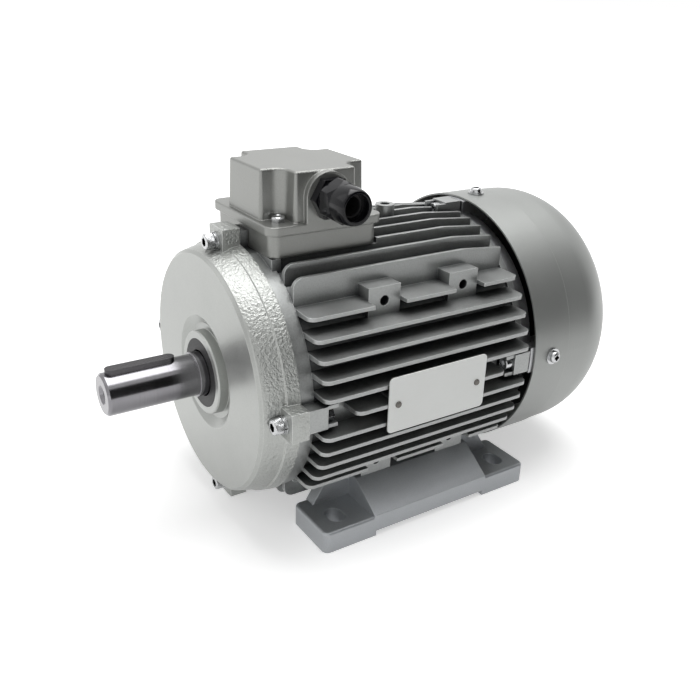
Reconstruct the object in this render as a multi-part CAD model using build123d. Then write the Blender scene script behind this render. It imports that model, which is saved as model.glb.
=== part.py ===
from build123d import *
import os
from math import sqrt

# Three-phase cage motor, foot mounted, with its terminal box on top.
# X runs across the motor, Y along the shaft with the drive end at -Y, Z up.
# The origin lies on the floor, at the centre of the four foot bolt holes.
# Shapes are drawn round the shaft axis and lifted to the shaft height at the end.
# Lengths are in millimetres.

# Mounting sizes of frame 100
shaft_height = 100.0
foot_pitch_across = 160.0
foot_pitch_along = 140.0
shoulder_to_foot_hole = 63.0
foot_bolt_hole_d = 12.0
foot_slot_length = 16.0

# Clearances
fit_gap = 0.02
thread_gap = 0.05
running_gap = 0.1
casting_gap = 0.3
screw_hole_gap = 0.3

# Housing
shoulder_to_housing = 33.0
housing_length = 180.0
core_r = 77.5
barrel_wall = 7.0
rim_height = 1.5
front_rim_width = 9.5
rear_rim_width = 5.0
spigot_wall = 6.0
spigot_depth = 4.8

# Fins
fin_count = 5
fin_first = 13.0
fin_pitch = 11.25
fin_root_thickness = 3.6
fin_tip_thickness = 2.4
side_fin_reach = 101.0
side_fin_arc_r = 90.0
top_fin_reach = 92.7
top_fin_arc_r = 118.0
side_fin_corner_r = 5.0
top_fin_corner_r = 7.0
top_fin_droop = 3.2
top_fin_droop_run = 34.0
bottom_outer_fin_reach = 65.0
centre_fin_front_gap = 31.5
centre_fin_rear_gap = 27.0

# Lugs and their screws
lug_screw_r = 88.6
lug_screw_d = 6.0
housing_lug_reach = 95.0
housing_lug_width = 15.2
housing_lug_length = 13.5
pocket_wall = 2.5
pocket_depth = 7.5
lug_relief = 0.5
shield_lug_reach = 98.0
shield_lug_width = 19.0
shield_lug_length = 12.0
rear_shield_lug_length = 26.0
nut_flats = 10.0
nut_height = 5.0
cap_head_d = 10.0
cap_head_height = 6.0
cap_socket_flats = 5.0
cap_socket_depth = 3.2
spring_washer_height = 1.3
flat_washer_height = 1.0
spring_washer_d = 11.0
flat_washer_d = 12.0
rear_screw_grip = 11.5

# Side pads and foot seats
pad_face = 72.0
pad_root = 52.0
pad_height = 19.2
pad_length = 24.2
pad_pitch = 64.0
seat_drop = 67.7
pad_hole_d = 6.8
pad_hole_depth = 12.0

# Feet
foot_outer = 96.5
foot_width = 42.1
foot_overhang = 17.1
foot_thickness = 15.0
foot_edge_height = 16.0
foot_seat_length = 97.0
foot_web_width = 9.0
foot_web_base = 154.0
foot_web_top = 132.0
foot_corner_r = 4.5
foot_edge_r = 2.0
foot_relief_length = 94.0
foot_relief_depth = 3.8
foot_screw_d = 8.0
foot_screw_length = 28.0
foot_screw_inset = 9.6
foot_screw_head_d = 13.0
foot_screw_head_height = 8.0
foot_screw_floor_gap = 8.0

# Lifting boss
lifting_boss_y = 16.7
lifting_boss_r = 6.8
lifting_boss_top = 98.2
lifting_hole_d = 6.8
lifting_hole_depth = 13.0

# Drive-end shield
shield_depth = 24.4
shield_face_r = 79.3
shield_rim_r = 87.0
shield_crease_depth = 8.5
shield_crease_draft = 1.3
shield_crease_step = 0.9
shield_chamfer = 2.2
shield_wall = 6.0
dish_r = 38.9
dish_floor_r = 32.5
dish_depth = 4.5
hub_r = 28.5
hub_proud = 2.6

# Bearings, a 30 by 62 by 16 deep-groove type
bearing_bore_d = 30.0
bearing_outer_d = 62.0
bearing_width = 16.0
ball_d = 9.5
ball_count = 9
ball_gap = 0.06
race_shoulder = 1.9
cage_thickness = 2.4
cage_width = 11.5
bearing_seat_wall = 7.0
bearing_shoulder = 3.5
wave_washer_height = 1.6

# Shaft seals
seal_outer_d = 47.0
seal_width = 7.0
seal_wall = 1.6
seal_lip_width = 2.4

# Shaft
shaft_end_d = 28.0
shaft_end_length = 60.0
shaft_end_chamfer = 1.5
key_width = 8.0
key_height = 7.0
key_depth = 4.0
key_length = 45.0
key_end_gap = 3.0
centre_hole_d = 8.5
centre_hole_depth = 24.0
centre_hole_chamfer = 2.2
shaft_collar_d = 36.0
core_seat_d = 40.0
fan_seat_d = 24.0
fan_seat_length = 50.0

# Stator core and winding
core_length = 110.0
core_rear_gap = 37.0
air_gap = 0.4
stator_bore_r = 49.0
slot_count = 36
slot_width = 4.6
slot_depth = 15.0
slot_mouth = 1.5
winding_gap = 0.15
end_winding_length = 24.0
end_winding_chamfer = 4.0

# Rotor cage
rotor_bar_count = 28
rotor_bar_width = 3.0
rotor_bar_height = 9.0
rotor_bar_cover = 1.0
end_ring_length = 12.0
end_ring_height = 16.0
vane_count = 7
vane_length = 7.0
vane_thickness = 3.0
vane_height = 9.0

# Rear shield
rear_rim_depth = 8.0
rear_hub_depth = 31.0
rear_wall = 6.0
rear_cone_inner_r = 44.0
rear_cone_rise = 13.0

# Fan
fan_r = 82.0
fan_gap = 12.0
fan_width = 27.0
fan_disc = 2.5
fan_hub_r = 20.0
fan_blades = 9
fan_blade_thickness = 2.5
fan_blade_root_r = 30.0
fan_key_width = 6.0
fan_key_height = 6.0
fan_key_depth = 3.5
fan_clip_width = 1.2
fan_clip_wall = 3.0

# Cowl
cowl_r = 96.5
cowl_sheet = 1.2
cowl_overlap = -3.8
cowl_length = 98.0
cowl_straight = 33.0
cowl_taper = 2.2
cowl_corner_r = 45.0
cowl_crease = 0.5
grille_rings = 4
grille_sectors = 8
grille_inner_r = 14.0
grille_slot = 6.0
grille_pitch = 13.0
grille_spoke = 7.0
cowl_screw_from_mouth = 17.2
cowl_screw_d = 5.0
cowl_screw_length = 12.0
cowl_screw_head_d = 8.6
cowl_screw_head_height = 3.4
cowl_washer_d = 12.0
cowl_washer_height = 1.2

# Terminal box
box_y = -55.0
box_half = 38.8
box_bottom = 84.0
box_floor = 3.5
box_wall = 3.2
box_height = 13.8
box_corner_r = 6.0
box_gasket = 0.8
neck_half = 34.0
neck_rear_gap = 4.0
lead_hole_r = 9.0
lead_hole_shift = -22.0
base_gasket = 0.3
box_screw_offset = 20.0
box_screw_d = 5.0
box_screw_length = 10.0
box_screw_head_d = 8.5
box_screw_head = 3.5
cover_half = 41.4
cover_flange = 5.5
cover_corner_r = 7.0
cover_body_half = 38.0
cover_body_corner_r = 2.5
cover_top = 135.4
cover_wall = 3.0
cover_draft_angle = 2.2
cover_edge_r = 1.5
scoop_reach = 15.5
scoop_r = 7.0
cover_screw_offset = 28.7
cover_screw_d = 5.0
cover_screw_length = 15.0
cover_screw_flats = 8.0
cover_screw_head = 3.5
corner_boss_r = 5.5
cover_thread_depth = 10.5

# Terminal board and its studs
board_length = 56.0
board_width = 34.0
board_thickness = 5.0
board_lift = 7.0
stud_pitch_across = 16.0
stud_pitch_along = 18.0
stud_d = 4.0
stud_length = 17.0
stud_head_height = 2.5
stud_nut_flats = 7.0
stud_nut_height = 3.2
link_width = 7.0
link_thickness = 1.0
board_screw_d = 4.0
board_screw_offset = 24.5
board_screw_length = 10.0
board_screw_head_d = 7.0
board_screw_head = 2.6
board_post_r = 4.5
earth_screw_x = 12.0
earth_screw_y = 27.0

# Cable gland
gland_z = 119.2
gland_boss_r = 15.8
gland_thread_d = 20.0
gland_flats = 24.0
gland_hex_length = 6.0
gland_collar_length = 2.0
gland_collar_r = 11.4
gland_nut_length = 23.2
gland_nut_hex_length = 12.0
gland_mouth_r = 6.6
gland_mouth_ring_r = 11.0
gland_mouth_depth = 7.0
gland_hole_r = 6.0
gland_sleeve_r = 9.4
gland_sleeve_bore_r = 8.2
gland_inner_reach = 11.0
locknut_flats = 24.0
locknut_height = 4.0

# Nameplate
plate_length = 78.5
plate_height = 38.3
plate_thickness = 0.8
plate_corner_r = 3.0
plate_y = -7.0
rivet_pitch = 64.0
rivet_d = 2.4
rivet_head_d = 4.4
rivet_head_height = 1.2
rivet_boss_r = 3.0
rivet_length = 8.0

# Places along the shaft
shoulder_y = -(foot_pitch_along / 2 + shoulder_to_foot_hole)
housing_front = shoulder_y + shoulder_to_housing
housing_rear = housing_front + housing_length
shield_face_y = housing_front - shield_depth
hub_face_y = shield_face_y - hub_proud
front_bearing_y = hub_face_y + seal_width + 1.9
rear_bearing_y = housing_rear + 4.0
core_rear = housing_rear - core_rear_gap
core_front = core_rear - core_length
rear_hub_face = housing_rear + rear_hub_depth
fan_front = rear_hub_face + fan_gap
fan_rear = fan_front + fan_width
shaft_rear = rear_bearing_y + bearing_width + fan_seat_length
cowl_front = housing_rear - cowl_overlap
cowl_rear = cowl_front + cowl_length
cowl_screw_y = cowl_front + cowl_screw_from_mouth

# Radii that follow from others
barrel_r = core_r + barrel_wall
rim_r = barrel_r + rim_height
spigot_r = rim_r - spigot_wall
rotor_r = stator_bore_r - air_gap
cowl_inner_r = cowl_r - cowl_sheet
floor_z = -shaft_height
foot_inner = foot_outer - foot_width
foot_half_length = foot_pitch_along / 2 + foot_overhang
foot_screw_x = foot_inner + foot_screw_inset
pad_centre_z = seat_drop - pad_height / 2
box_top = box_bottom + base_gasket + box_height
box_floor_top = box_bottom + base_gasket + box_floor
cover_bottom = box_top + box_gasket
cover_seat = cover_bottom + cover_flange
lead_hole_y = box_y + lead_hole_shift
board_bottom = box_floor_top + board_lift
board_top = board_bottom + board_thickness
gland_nut_start = cover_half + gland_hex_length + gland_collar_length
gland_nut_end = gland_nut_start + gland_nut_length
seal_r = seal_outer_d / 2
bearing_r = bearing_outer_d / 2 + fit_gap
plate_x = side_fin_reach


def ring(outer_r, inner_r, start, end):
    """Tube round the shaft axis between two places along it."""
    tube = Cylinder(outer_r, end - start) - Cylinder(inner_r, end - start)
    return Pos(0, (start + end) / 2, 0) * Rot(90, 0, 0) * tube


def turned(*outline):
    """Solid turned round the shaft axis from (radius, y) corners."""
    face = make_face(Polyline(*outline, close=True))
    return revolve(face, Axis.Y, 360)


def rod(radius, start, end):
    """Round rod between two points."""
    direction = Vector(*end) - Vector(*start)
    place = Plane(origin=start, z_dir=direction)
    return place * Cylinder(radius, direction.length, align=(Align.CENTER, Align.CENTER, Align.MIN))


def hex_rod(flats, start, end, across=(0, 0, 1)):
    """Hexagonal rod between two points; a corner points along the across direction."""
    direction = Vector(*end) - Vector(*start)
    place = Plane(origin=start, x_dir=across, z_dir=direction)
    outline = RegularPolygon(flats / 2, 6, major_radius=False)
    return extrude(place * outline, direction.length)


def block(x0, x1, y0, y1, z0, z1):
    """Box between two opposite corners."""
    centre = Pos((x0 + x1) / 2, (y0 + y1) / 2, (z0 + z1) / 2)
    return centre * Box(abs(x1 - x0), abs(y1 - y0), abs(z1 - z0))


def along_shaft(outline, start, end):
    """Extrude corners given as (x, z) from one place along the shaft to another."""
    section = Plane(origin=(0, end, 0), x_dir=(1, 0, 0), z_dir=(0, -1, 0))
    face = make_face(Polyline(*outline, close=True))
    return extrude(section * face, end - start)


def quarter_turns(shape, count=4):
    """Copies of a shape turned round the shaft axis in equal steps."""
    return [Rot(0, 360 / count * step, 0) * shape for step in range(count)]


def fin_offsets():
    """Distances of the fins from the middle of their side."""
    return [fin_first + fin_pitch * step for step in range(fin_count)]


def side_fin_tip(offset):
    """Reach of a side fin, on an arc that crosses the middle at full reach."""
    return side_fin_reach - side_fin_arc_r + sqrt(side_fin_arc_r**2 - offset**2)


def top_fin_tip(offset):
    """Reach of a top or bottom fin, on a flatter arc."""
    return top_fin_reach - top_fin_arc_r + sqrt(top_fin_arc_r**2 - offset**2)


def upright_fin(offset, tip, corner_r, droop, start, end):
    """Drafted fin that stands up from the barrel, with its end corners rounded."""
    root = sqrt(barrel_r**2 - (abs(offset) + fin_root_thickness) ** 2) - 1.0
    outline = [
        (offset - fin_root_thickness / 2, root),
        (offset - fin_tip_thickness / 2, tip),
        (offset + fin_tip_thickness / 2, tip),
        (offset + fin_root_thickness / 2, root),
    ]
    fin = along_shaft(outline, start, end)
    ends = fin.edges().filter_by(Axis.X).group_by(Axis.Z)[-1].sort_by(Axis.Y)
    if droop:
        fin = chamfer(ends[-1], top_fin_droop, top_fin_droop_run, reference=fin.faces().sort_by(Axis.Y)[-1])
        ends = fin.edges().filter_by(Axis.X).group_by(Axis.Z)[-1].sort_by(Axis.Y)
        return fillet(ends[0], corner_r)
    return fillet(ends, corner_r)


def side_fins(start, end):
    """Fins of the right side: pairs above and below the middle, and a short middle one."""
    fins = []
    for offset in fin_offsets():
        tip = side_fin_tip(offset)
        for place in (-offset, offset):
            fins.append(Rot(0, 90, 0) * upright_fin(place, tip, side_fin_corner_r, False, start, end))
    short = upright_fin(
        0, side_fin_reach, side_fin_corner_r, False, housing_front + centre_fin_front_gap, housing_rear - centre_fin_rear_gap
    )
    fins.append(Rot(0, 90, 0) * short)
    return fins


def top_fins(start, end):
    """Fins of the top, lower at the rear."""
    places = [0.0]
    for offset in fin_offsets():
        places += [-offset, offset]
    return [upright_fin(place, top_fin_tip(place), top_fin_corner_r, True, start, end) for place in places]


def bottom_fins(start, end):
    """Fins of the underside; the outermost pair stays above the feet."""
    fins = []
    for place in [0.0] + fin_offsets() + [-offset for offset in fin_offsets()]:
        outermost = abs(place) == fin_offsets()[-1]
        tip = bottom_outer_fin_reach if outermost else top_fin_tip(place)
        corner = fin_tip_thickness if outermost else top_fin_corner_r
        fins.append(Rot(0, 180, 0) * upright_fin(place, tip, corner, False, start, end))
    return fins


def housing_lugs():
    """Screw lugs of both ends, each with two walls that hold a nut or a screw head."""
    front = housing_front + lug_relief
    half = housing_lug_width / 2
    lugs = []
    for face, inward in ((front, 1), (housing_rear - lug_relief, -1)):
        back = face + inward * housing_lug_length
        pocket_end = back + inward * pocket_depth
        lug = block(-half, half, face, back, spigot_r + 1, housing_lug_reach)
        for side in (-1, 1):
            wall = block(
                side * half,
                side * (half - pocket_wall),
                back,
                pocket_end,
                spigot_r + 1,
                housing_lug_reach - 1,
            )
            lug += wall
        for step, turned_lug in enumerate(quarter_turns(lug)):
            under_box = inward == 1 and step == 0
            lugs.append(block(
                -half, half, face, box_y - box_half - casting_gap, spigot_r + 1, housing_lug_reach
            )
                        if under_box else turned_lug)
    return lugs


def lug_pockets():
    """Space for the nuts and screw heads behind the lugs, clear of the barrel and the middle fins."""
    half = housing_lug_width / 2 - pocket_wall
    low = lug_screw_r - nut_flats / sqrt(3) - casting_gap
    front = housing_front + lug_relief + housing_lug_length
    rear = housing_rear - lug_relief - housing_lug_length
    pockets = quarter_turns(block(-half, half, front, front + pocket_depth, low, side_fin_reach + 1))[1:]
    return pockets + quarter_turns(block(-half, half, rear - pocket_depth, rear, low, side_fin_reach + 1))


def pad_blocks(inner, outer, low, high):
    """Eight equal blocks at the pads, between two distances from the middle plane and from the axis."""
    blocks = []
    for side in (-1, 1):
        for level in (-1, 1):
            for end in (-1, 1):
                y = end * pad_pitch / 2
                near = y - pad_length / 2
                far = y + pad_length / 2
                blocks.append(block(side * inner, side * outer, near, far, level * low, level * high))
    return blocks


def corner_pads():
    """Pads with flat faces outwards and up or down, two above and two below on each side."""
    return pad_blocks(pad_root, pad_face, seat_drop - pad_height, seat_drop)


def housing_holes():
    """Holes of the housing: lug screws, pads, foot screws, lifting hole and lead passage."""
    holes = []
    clearance_r = lug_screw_d / 2 + screw_hole_gap
    tapped_r = lug_screw_d / 2 + thread_gap
    for step in range(4):
        turn = Rot(0, 90 * step, 0)
        under_box = step == 0
        radius = tapped_r if under_box else clearance_r
        depth = housing_lug_length + lug_relief + 1
        holes.append(
            turn * rod(radius, (0, housing_front - 1, lug_screw_r), (0, housing_front + depth, lug_screw_r))
        )
        holes.append(turn * rod(clearance_r, (0, housing_rear + 1, lug_screw_r), (0, housing_rear - depth, lug_screw_r)))
    for side in (-1, 1):
        for end in (-1, 1):
            y = end * pad_pitch / 2
            for level in (-1, 1):
                z = level * pad_centre_z
                holes.append(rod(pad_hole_d / 2, (side * (pad_face + 1), y, z), (side * (pad_face - pad_hole_depth), y, z)))
            x = side * foot_screw_x
            top = floor_z + foot_screw_floor_gap + foot_screw_head_height + foot_screw_length + 1
            holes.append(rod(foot_screw_d / 2 + thread_gap, (x, y, -seat_drop - 1), (x, y, top)))
    top = lifting_boss_top
    holes.append(
        rod(lifting_hole_d / 2, (0, lifting_boss_y, top + 1), (0, lifting_boss_y, top - lifting_hole_depth))
    )
    holes.append(rod(lead_hole_r, (0, lead_hole_y, core_r - 5), (0, lead_hole_y, box_bottom + 1)))
    for x, y in box_corners(box_screw_offset):
        low = box_floor_top - box_screw_length - 1
        holes.append(rod(box_screw_d / 2 + thread_gap, (x, y, box_bottom + 1), (x, y, low)))
    for end in (-1, 1):
        y = plate_y + end * rivet_pitch / 2
        holes.append(rod(rivet_d / 2 + fit_gap, (plate_x + 1, y, 0), (plate_x - rivet_length, y, 0)))
    return holes


def stator_frame():
    """Finned housing: barrel, rims, fins, lugs, pads, terminal box neck and lifting boss."""
    fin_start = housing_front + front_rim_width
    fin_end = housing_rear - rear_rim_width
    right = side_fins(fin_start, fin_end)
    left = [mirror(fin, Plane.YZ) for fin in right]
    rough_bore_r = core_r - barrel_wall
    body = turned(
        (rough_bore_r, housing_front),
        (rim_r, housing_front),
        (rim_r, fin_start),
        (barrel_r, fin_start),
        (barrel_r, fin_end),
        (rim_r, fin_end),
        (rim_r, housing_rear),
        (rough_bore_r, housing_rear),
    )
    body += right + left + top_fins(fin_start, fin_end) + bottom_fins(fin_start, fin_end)
    box_edge = box_half + 1.0
    body -= block(
        -box_edge, box_edge, housing_front, box_y + box_edge, box_bottom - casting_gap, top_fin_reach + 1
    )
    for side in (-1, 1):
        near = side * (foot_inner - 1.0)
        far = side * (foot_outer + 1.0)
        body -= block(near, far, -foot_half_length, foot_half_length, floor_z, -seat_drop + 0.5)
    body += neck_outline(rough_bore_r, box_bottom)
    body -= pad_blocks(pad_face, side_fin_reach + 1, seat_drop - pad_height, seat_drop)
    body += rod(lifting_boss_r, (0, lifting_boss_y, barrel_r - 3), (0, lifting_boss_y, lifting_boss_top))
    body += housing_lugs() + corner_pads()
    for end in (-1, 1):
        y = plate_y + end * rivet_pitch / 2
        body += rod(rivet_boss_r, (barrel_r - 2, y, 0), (plate_x, y, 0))
    seat_depth = spigot_depth + 0.2
    cuts = housing_holes() + lug_pockets()
    cuts.append(rod(core_r + fit_gap, (0, housing_front - 1, 0), (0, housing_rear + 1, 0)))
    cuts.append(rod(spigot_r + fit_gap, (0, housing_front - 1, 0), (0, housing_front + seat_depth, 0)))
    cuts.append(rod(spigot_r + fit_gap, (0, housing_rear - seat_depth, 0), (0, housing_rear + 1, 0)))
    return (body - cuts).solid()


def shield_lugs(face, inward, length, reach, width):
    """Four lugs of a shield that meet the lugs of the housing."""
    end = face - inward * length
    half = width / 2
    lug = block(-half, half, face, end, spigot_r - 2, reach + 1)
    return quarter_turns(lug & ring(reach, 1, min(face, end), max(face, end)))


def drive_end_shield():
    """Drive-end shield with its flat face, dished centre, hub, bearing seat and spigot."""
    bearing_end = front_bearing_y + bearing_width
    crease_y = housing_front - shield_crease_depth
    crease_r = shield_rim_r - shield_crease_draft
    shell = turned(
        (shield_rim_r, housing_front),
        (crease_r, crease_y),
        (crease_r - shield_crease_step, crease_y - 0.4),
        ((shield_rim_r + shield_face_r) / 2, (housing_front + shield_face_y) / 2 - 4.0),
        (shield_face_r + shield_chamfer, shield_face_y + 0.86 * shield_chamfer),
        (shield_face_r, shield_face_y),
        (dish_r, shield_face_y),
        (dish_floor_r, shield_face_y + dish_depth),
        (hub_r, shield_face_y + dish_depth),
        (hub_r, hub_face_y + 0.8),
        (hub_r - 0.8, hub_face_y),
        (seal_r, hub_face_y),
        (seal_r, hub_face_y + seal_width + 0.3),
        (seal_r - bearing_shoulder, hub_face_y + seal_width + 0.3),
        (seal_r - bearing_shoulder, front_bearing_y),
        (bearing_r, front_bearing_y),
        (bearing_r, bearing_end + 1.0),
        (bearing_r + bearing_seat_wall, bearing_end + 1.0),
        (bearing_r + bearing_seat_wall, shield_face_y + dish_depth + shield_wall),
        (dish_r + shield_wall, shield_face_y + shield_wall),
        (shield_face_r - shield_wall, shield_face_y + shield_wall),
        (spigot_r - spigot_wall, shield_face_y + 3 * shield_wall),
        (spigot_r - spigot_wall, housing_front + spigot_depth),
        (spigot_r, housing_front + spigot_depth),
        (spigot_r, housing_front),
    )
    front = housing_front - lug_relief
    shell += shield_lugs(front, 1, shield_lug_length, shield_lug_reach, shield_lug_width)
    hole = rod(
        lug_screw_d / 2 + screw_hole_gap,
        (0, front + 1, lug_screw_r),
        (0, front - shield_lug_length - 1, lug_screw_r),
    )
    head_room = rod(
        flat_washer_d / 2 + 0.6,
        (0, front - shield_lug_length, lug_screw_r),
        (0, shield_face_y - 1, lug_screw_r),
    )
    return shell - (quarter_turns(hole) + quarter_turns(head_room))


def fan_end_shield():
    """Rear shield with its spigot, cone, bearing seat, seal bore and lugs for the cowl."""
    seat_end = rear_bearing_y + bearing_width + wave_washer_height
    cone_start = housing_rear + rear_rim_depth
    cone_end = cone_start + rear_cone_rise
    shell = turned(
        (rim_r, housing_rear),
        (rim_r, cone_start),
        (rear_cone_inner_r, cone_end),
        (hub_r + 8.0, rear_hub_face),
        (seal_r, rear_hub_face),
        (seal_r, rear_hub_face - seal_width - 0.3),
        (seal_r - bearing_shoulder, rear_hub_face - seal_width - 0.3),
        (seal_r - bearing_shoulder, seat_end),
        (bearing_r, seat_end),
        (bearing_r, rear_bearing_y - 1.0),
        (bearing_r + bearing_seat_wall, rear_bearing_y - 1.0),
        (bearing_r + bearing_seat_wall, cone_end - rear_wall),
        (spigot_r - spigot_wall, cone_start - rear_wall),
        (spigot_r - spigot_wall, housing_rear - spigot_depth),
        (spigot_r, housing_rear - spigot_depth),
        (spigot_r, housing_rear),
    )
    front = housing_rear + lug_relief
    reach = cowl_inner_r - casting_gap
    shell += shield_lugs(front, -1, rear_shield_lug_length, reach, shield_lug_width)
    tapped = rod(
        lug_screw_d / 2 + thread_gap,
        (0, front - 1, lug_screw_r),
        (0, front + rear_screw_grip + 1, lug_screw_r),
    )
    radial = rod(
        cowl_screw_d / 2 + thread_gap,
        (0, cowl_screw_y, reach + 1),
        (0, cowl_screw_y, cowl_r - cowl_screw_length - 1),
    )
    return shell - (quarter_turns(tapped) + quarter_turns(radial))


def wave_washer():
    """Preload washer between the rear bearing and the end of its seat."""
    outer = bearing_outer_d / 2 - 0.5
    start = rear_bearing_y + bearing_width
    return ring(outer, outer - 5.0, start, start + wave_washer_height)


def fan_cowl():
    """Sheet cowl over the fan: straight mouth, a crease, slight taper, rounded rear edge and a grille."""
    taper_end_r = cowl_r - cowl_taper
    straight_end = cowl_front + cowl_straight
    crease_end = straight_end + 1.2 * cowl_crease
    outer = turned(
        (0, cowl_front),
        (cowl_r, cowl_front),
        (cowl_r, straight_end),
        (cowl_r - cowl_crease, crease_end),
        (taper_end_r, cowl_rear),
        (0, cowl_rear),
    )
    rear_edge = outer.edges().filter_by(GeomType.CIRCLE).sort_by(Axis.Y)[-1]
    outer = fillet(rear_edge, cowl_corner_r)
    inner = turned(
        (0, cowl_front - 1),
        (cowl_inner_r, cowl_front - 1),
        (cowl_inner_r, straight_end),
        (cowl_inner_r - cowl_crease, crease_end),
        (taper_end_r - cowl_sheet, cowl_rear - cowl_sheet),
        (0, cowl_rear - cowl_sheet),
    )
    inner_edge = inner.edges().filter_by(GeomType.CIRCLE).sort_by(Axis.Y)[-1]
    inner = fillet(inner_edge, cowl_corner_r - cowl_sheet)
    shell = outer - inner
    openings = []
    for row in range(grille_rings):
        slot_inner = grille_inner_r + row * grille_pitch
        band = ring(slot_inner + grille_slot, slot_inner, cowl_rear - 5, cowl_rear + 5)
        for sector in range(grille_sectors // 2):
            spoke = block(-grille_spoke / 2, grille_spoke / 2, cowl_rear - 6, cowl_rear + 6, -cowl_r, cowl_r)
            band -= Rot(0, 360 / grille_sectors * sector, 0) * spoke
        openings.append(band)
    shell -= openings
    hole = rod(
        cowl_screw_d / 2 + screw_hole_gap,
        (0, cowl_screw_y, cowl_r + 1),
        (0, cowl_screw_y, cowl_inner_r - 1),
    )
    return shell - quarter_turns(hole)


def cowl_screws():
    """Four cross-recess screws that hold the cowl to the rear shield."""
    seat = cowl_r + cowl_washer_height
    top = seat + cowl_screw_head_height
    screw = rod(cowl_screw_d / 2, (0, cowl_screw_y, cowl_r - cowl_screw_length), (0, cowl_screw_y, seat))
    head = rod(cowl_screw_head_d / 2, (0, cowl_screw_y, seat), (0, cowl_screw_y, top))
    head = fillet(head.edges().filter_by(GeomType.CIRCLE).sort_by(Axis.Z)[-1], 1.4)
    for width, length in ((1.2, 5.0), (5.0, 1.2)):
        head -= block(
            -width / 2, width / 2, cowl_screw_y - length / 2, cowl_screw_y + length / 2, top - 1.6, top + 1
        )
    return quarter_turns(screw + head)


def cowl_washers():
    """Flanged washers under the cowl screws."""
    hole_r = cowl_screw_d / 2 + thread_gap
    washer = rod(
        cowl_washer_d / 2, (0, cowl_screw_y, cowl_r + 0.02), (0, cowl_screw_y, cowl_r + cowl_washer_height)
    )
    washer -= rod(hole_r, (0, cowl_screw_y, cowl_r - 1), (0, cowl_screw_y, cowl_r + cowl_washer_height + 1))
    washer -= ring(cowl_r + 0.01, 1, cowl_screw_y - cowl_washer_d, cowl_screw_y + cowl_washer_d)
    return quarter_turns(washer)


def cap_screw(seat, tip, socket_side):
    """Socket-head screw along Y at the lug radius; the head lies on the socket side of its seat."""
    top = seat + socket_side * cap_head_height
    screw = rod(lug_screw_d / 2, (0, seat, lug_screw_r), (0, tip, lug_screw_r))
    head = rod(cap_head_d / 2, (0, seat, lug_screw_r), (0, top, lug_screw_r))
    socket = hex_rod(
        cap_socket_flats, (0, top + socket_side, lug_screw_r), (
            0, top - socket_side * cap_socket_depth, lug_screw_r
        )
    )
    edge = head.edges().filter_by(GeomType.CIRCLE).sort_by(Axis.Y)[-1 if socket_side > 0 else 0]
    return screw + chamfer(edge, 0.5) - socket


def front_lug_face():
    """Place of the face on which the front washers lie."""
    return housing_front - lug_relief - shield_lug_length


def front_shield_screws():
    """Four front screws; the one under the terminal box is shorter."""
    seat = front_lug_face() - spring_washer_height - flat_washer_height
    nut_end = housing_front + lug_relief + housing_lug_length + nut_height + 1.5
    short_end = box_y - box_half - casting_gap - 0.5
    screws = quarter_turns(cap_screw(seat, nut_end, -1))
    screws[0] = cap_screw(seat, short_end, -1)
    return screws


def front_shield_washers():
    """A spring washer and a flat washer under each front screw."""
    face = front_lug_face()
    hole_r = lug_screw_d / 2 + 0.15
    flat = ring(flat_washer_d / 2, hole_r, face - flat_washer_height, face)
    spring = ring(
        spring_washer_d / 2,
        hole_r,
        face - flat_washer_height - spring_washer_height,
        face - flat_washer_height,
    )
    spring -= block(-0.4, 0.4, face - 4, face - flat_washer_height, 0, spring_washer_d)
    pair = [Pos(0, 0, lug_screw_r) * flat, Pos(0, 0, lug_screw_r) * spring]
    washers = []
    for step in range(4):
        washers += [Rot(0, 90 * step, 0) * washer for washer in pair]
    return washers


def front_shield_nuts():
    """Nuts held in the front pockets, except under the terminal box."""
    start = housing_front + lug_relief + housing_lug_length
    nut = hex_rod(nut_flats, (0, start, lug_screw_r), (0, start + nut_height, lug_screw_r), across=(0, 0, 1))
    nut -= rod(
        lug_screw_d / 2 + thread_gap, (0, start - 1, lug_screw_r), (0, start + nut_height + 1, lug_screw_r)
    )
    return quarter_turns(nut)[1:]


def rear_shield_screws():
    """Four screws put in from the housing side, their heads in the rear pockets."""
    seat = housing_rear - lug_relief - housing_lug_length
    tip = housing_rear + lug_relief + rear_screw_grip
    return quarter_turns(cap_screw(seat, tip, -1))


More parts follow.
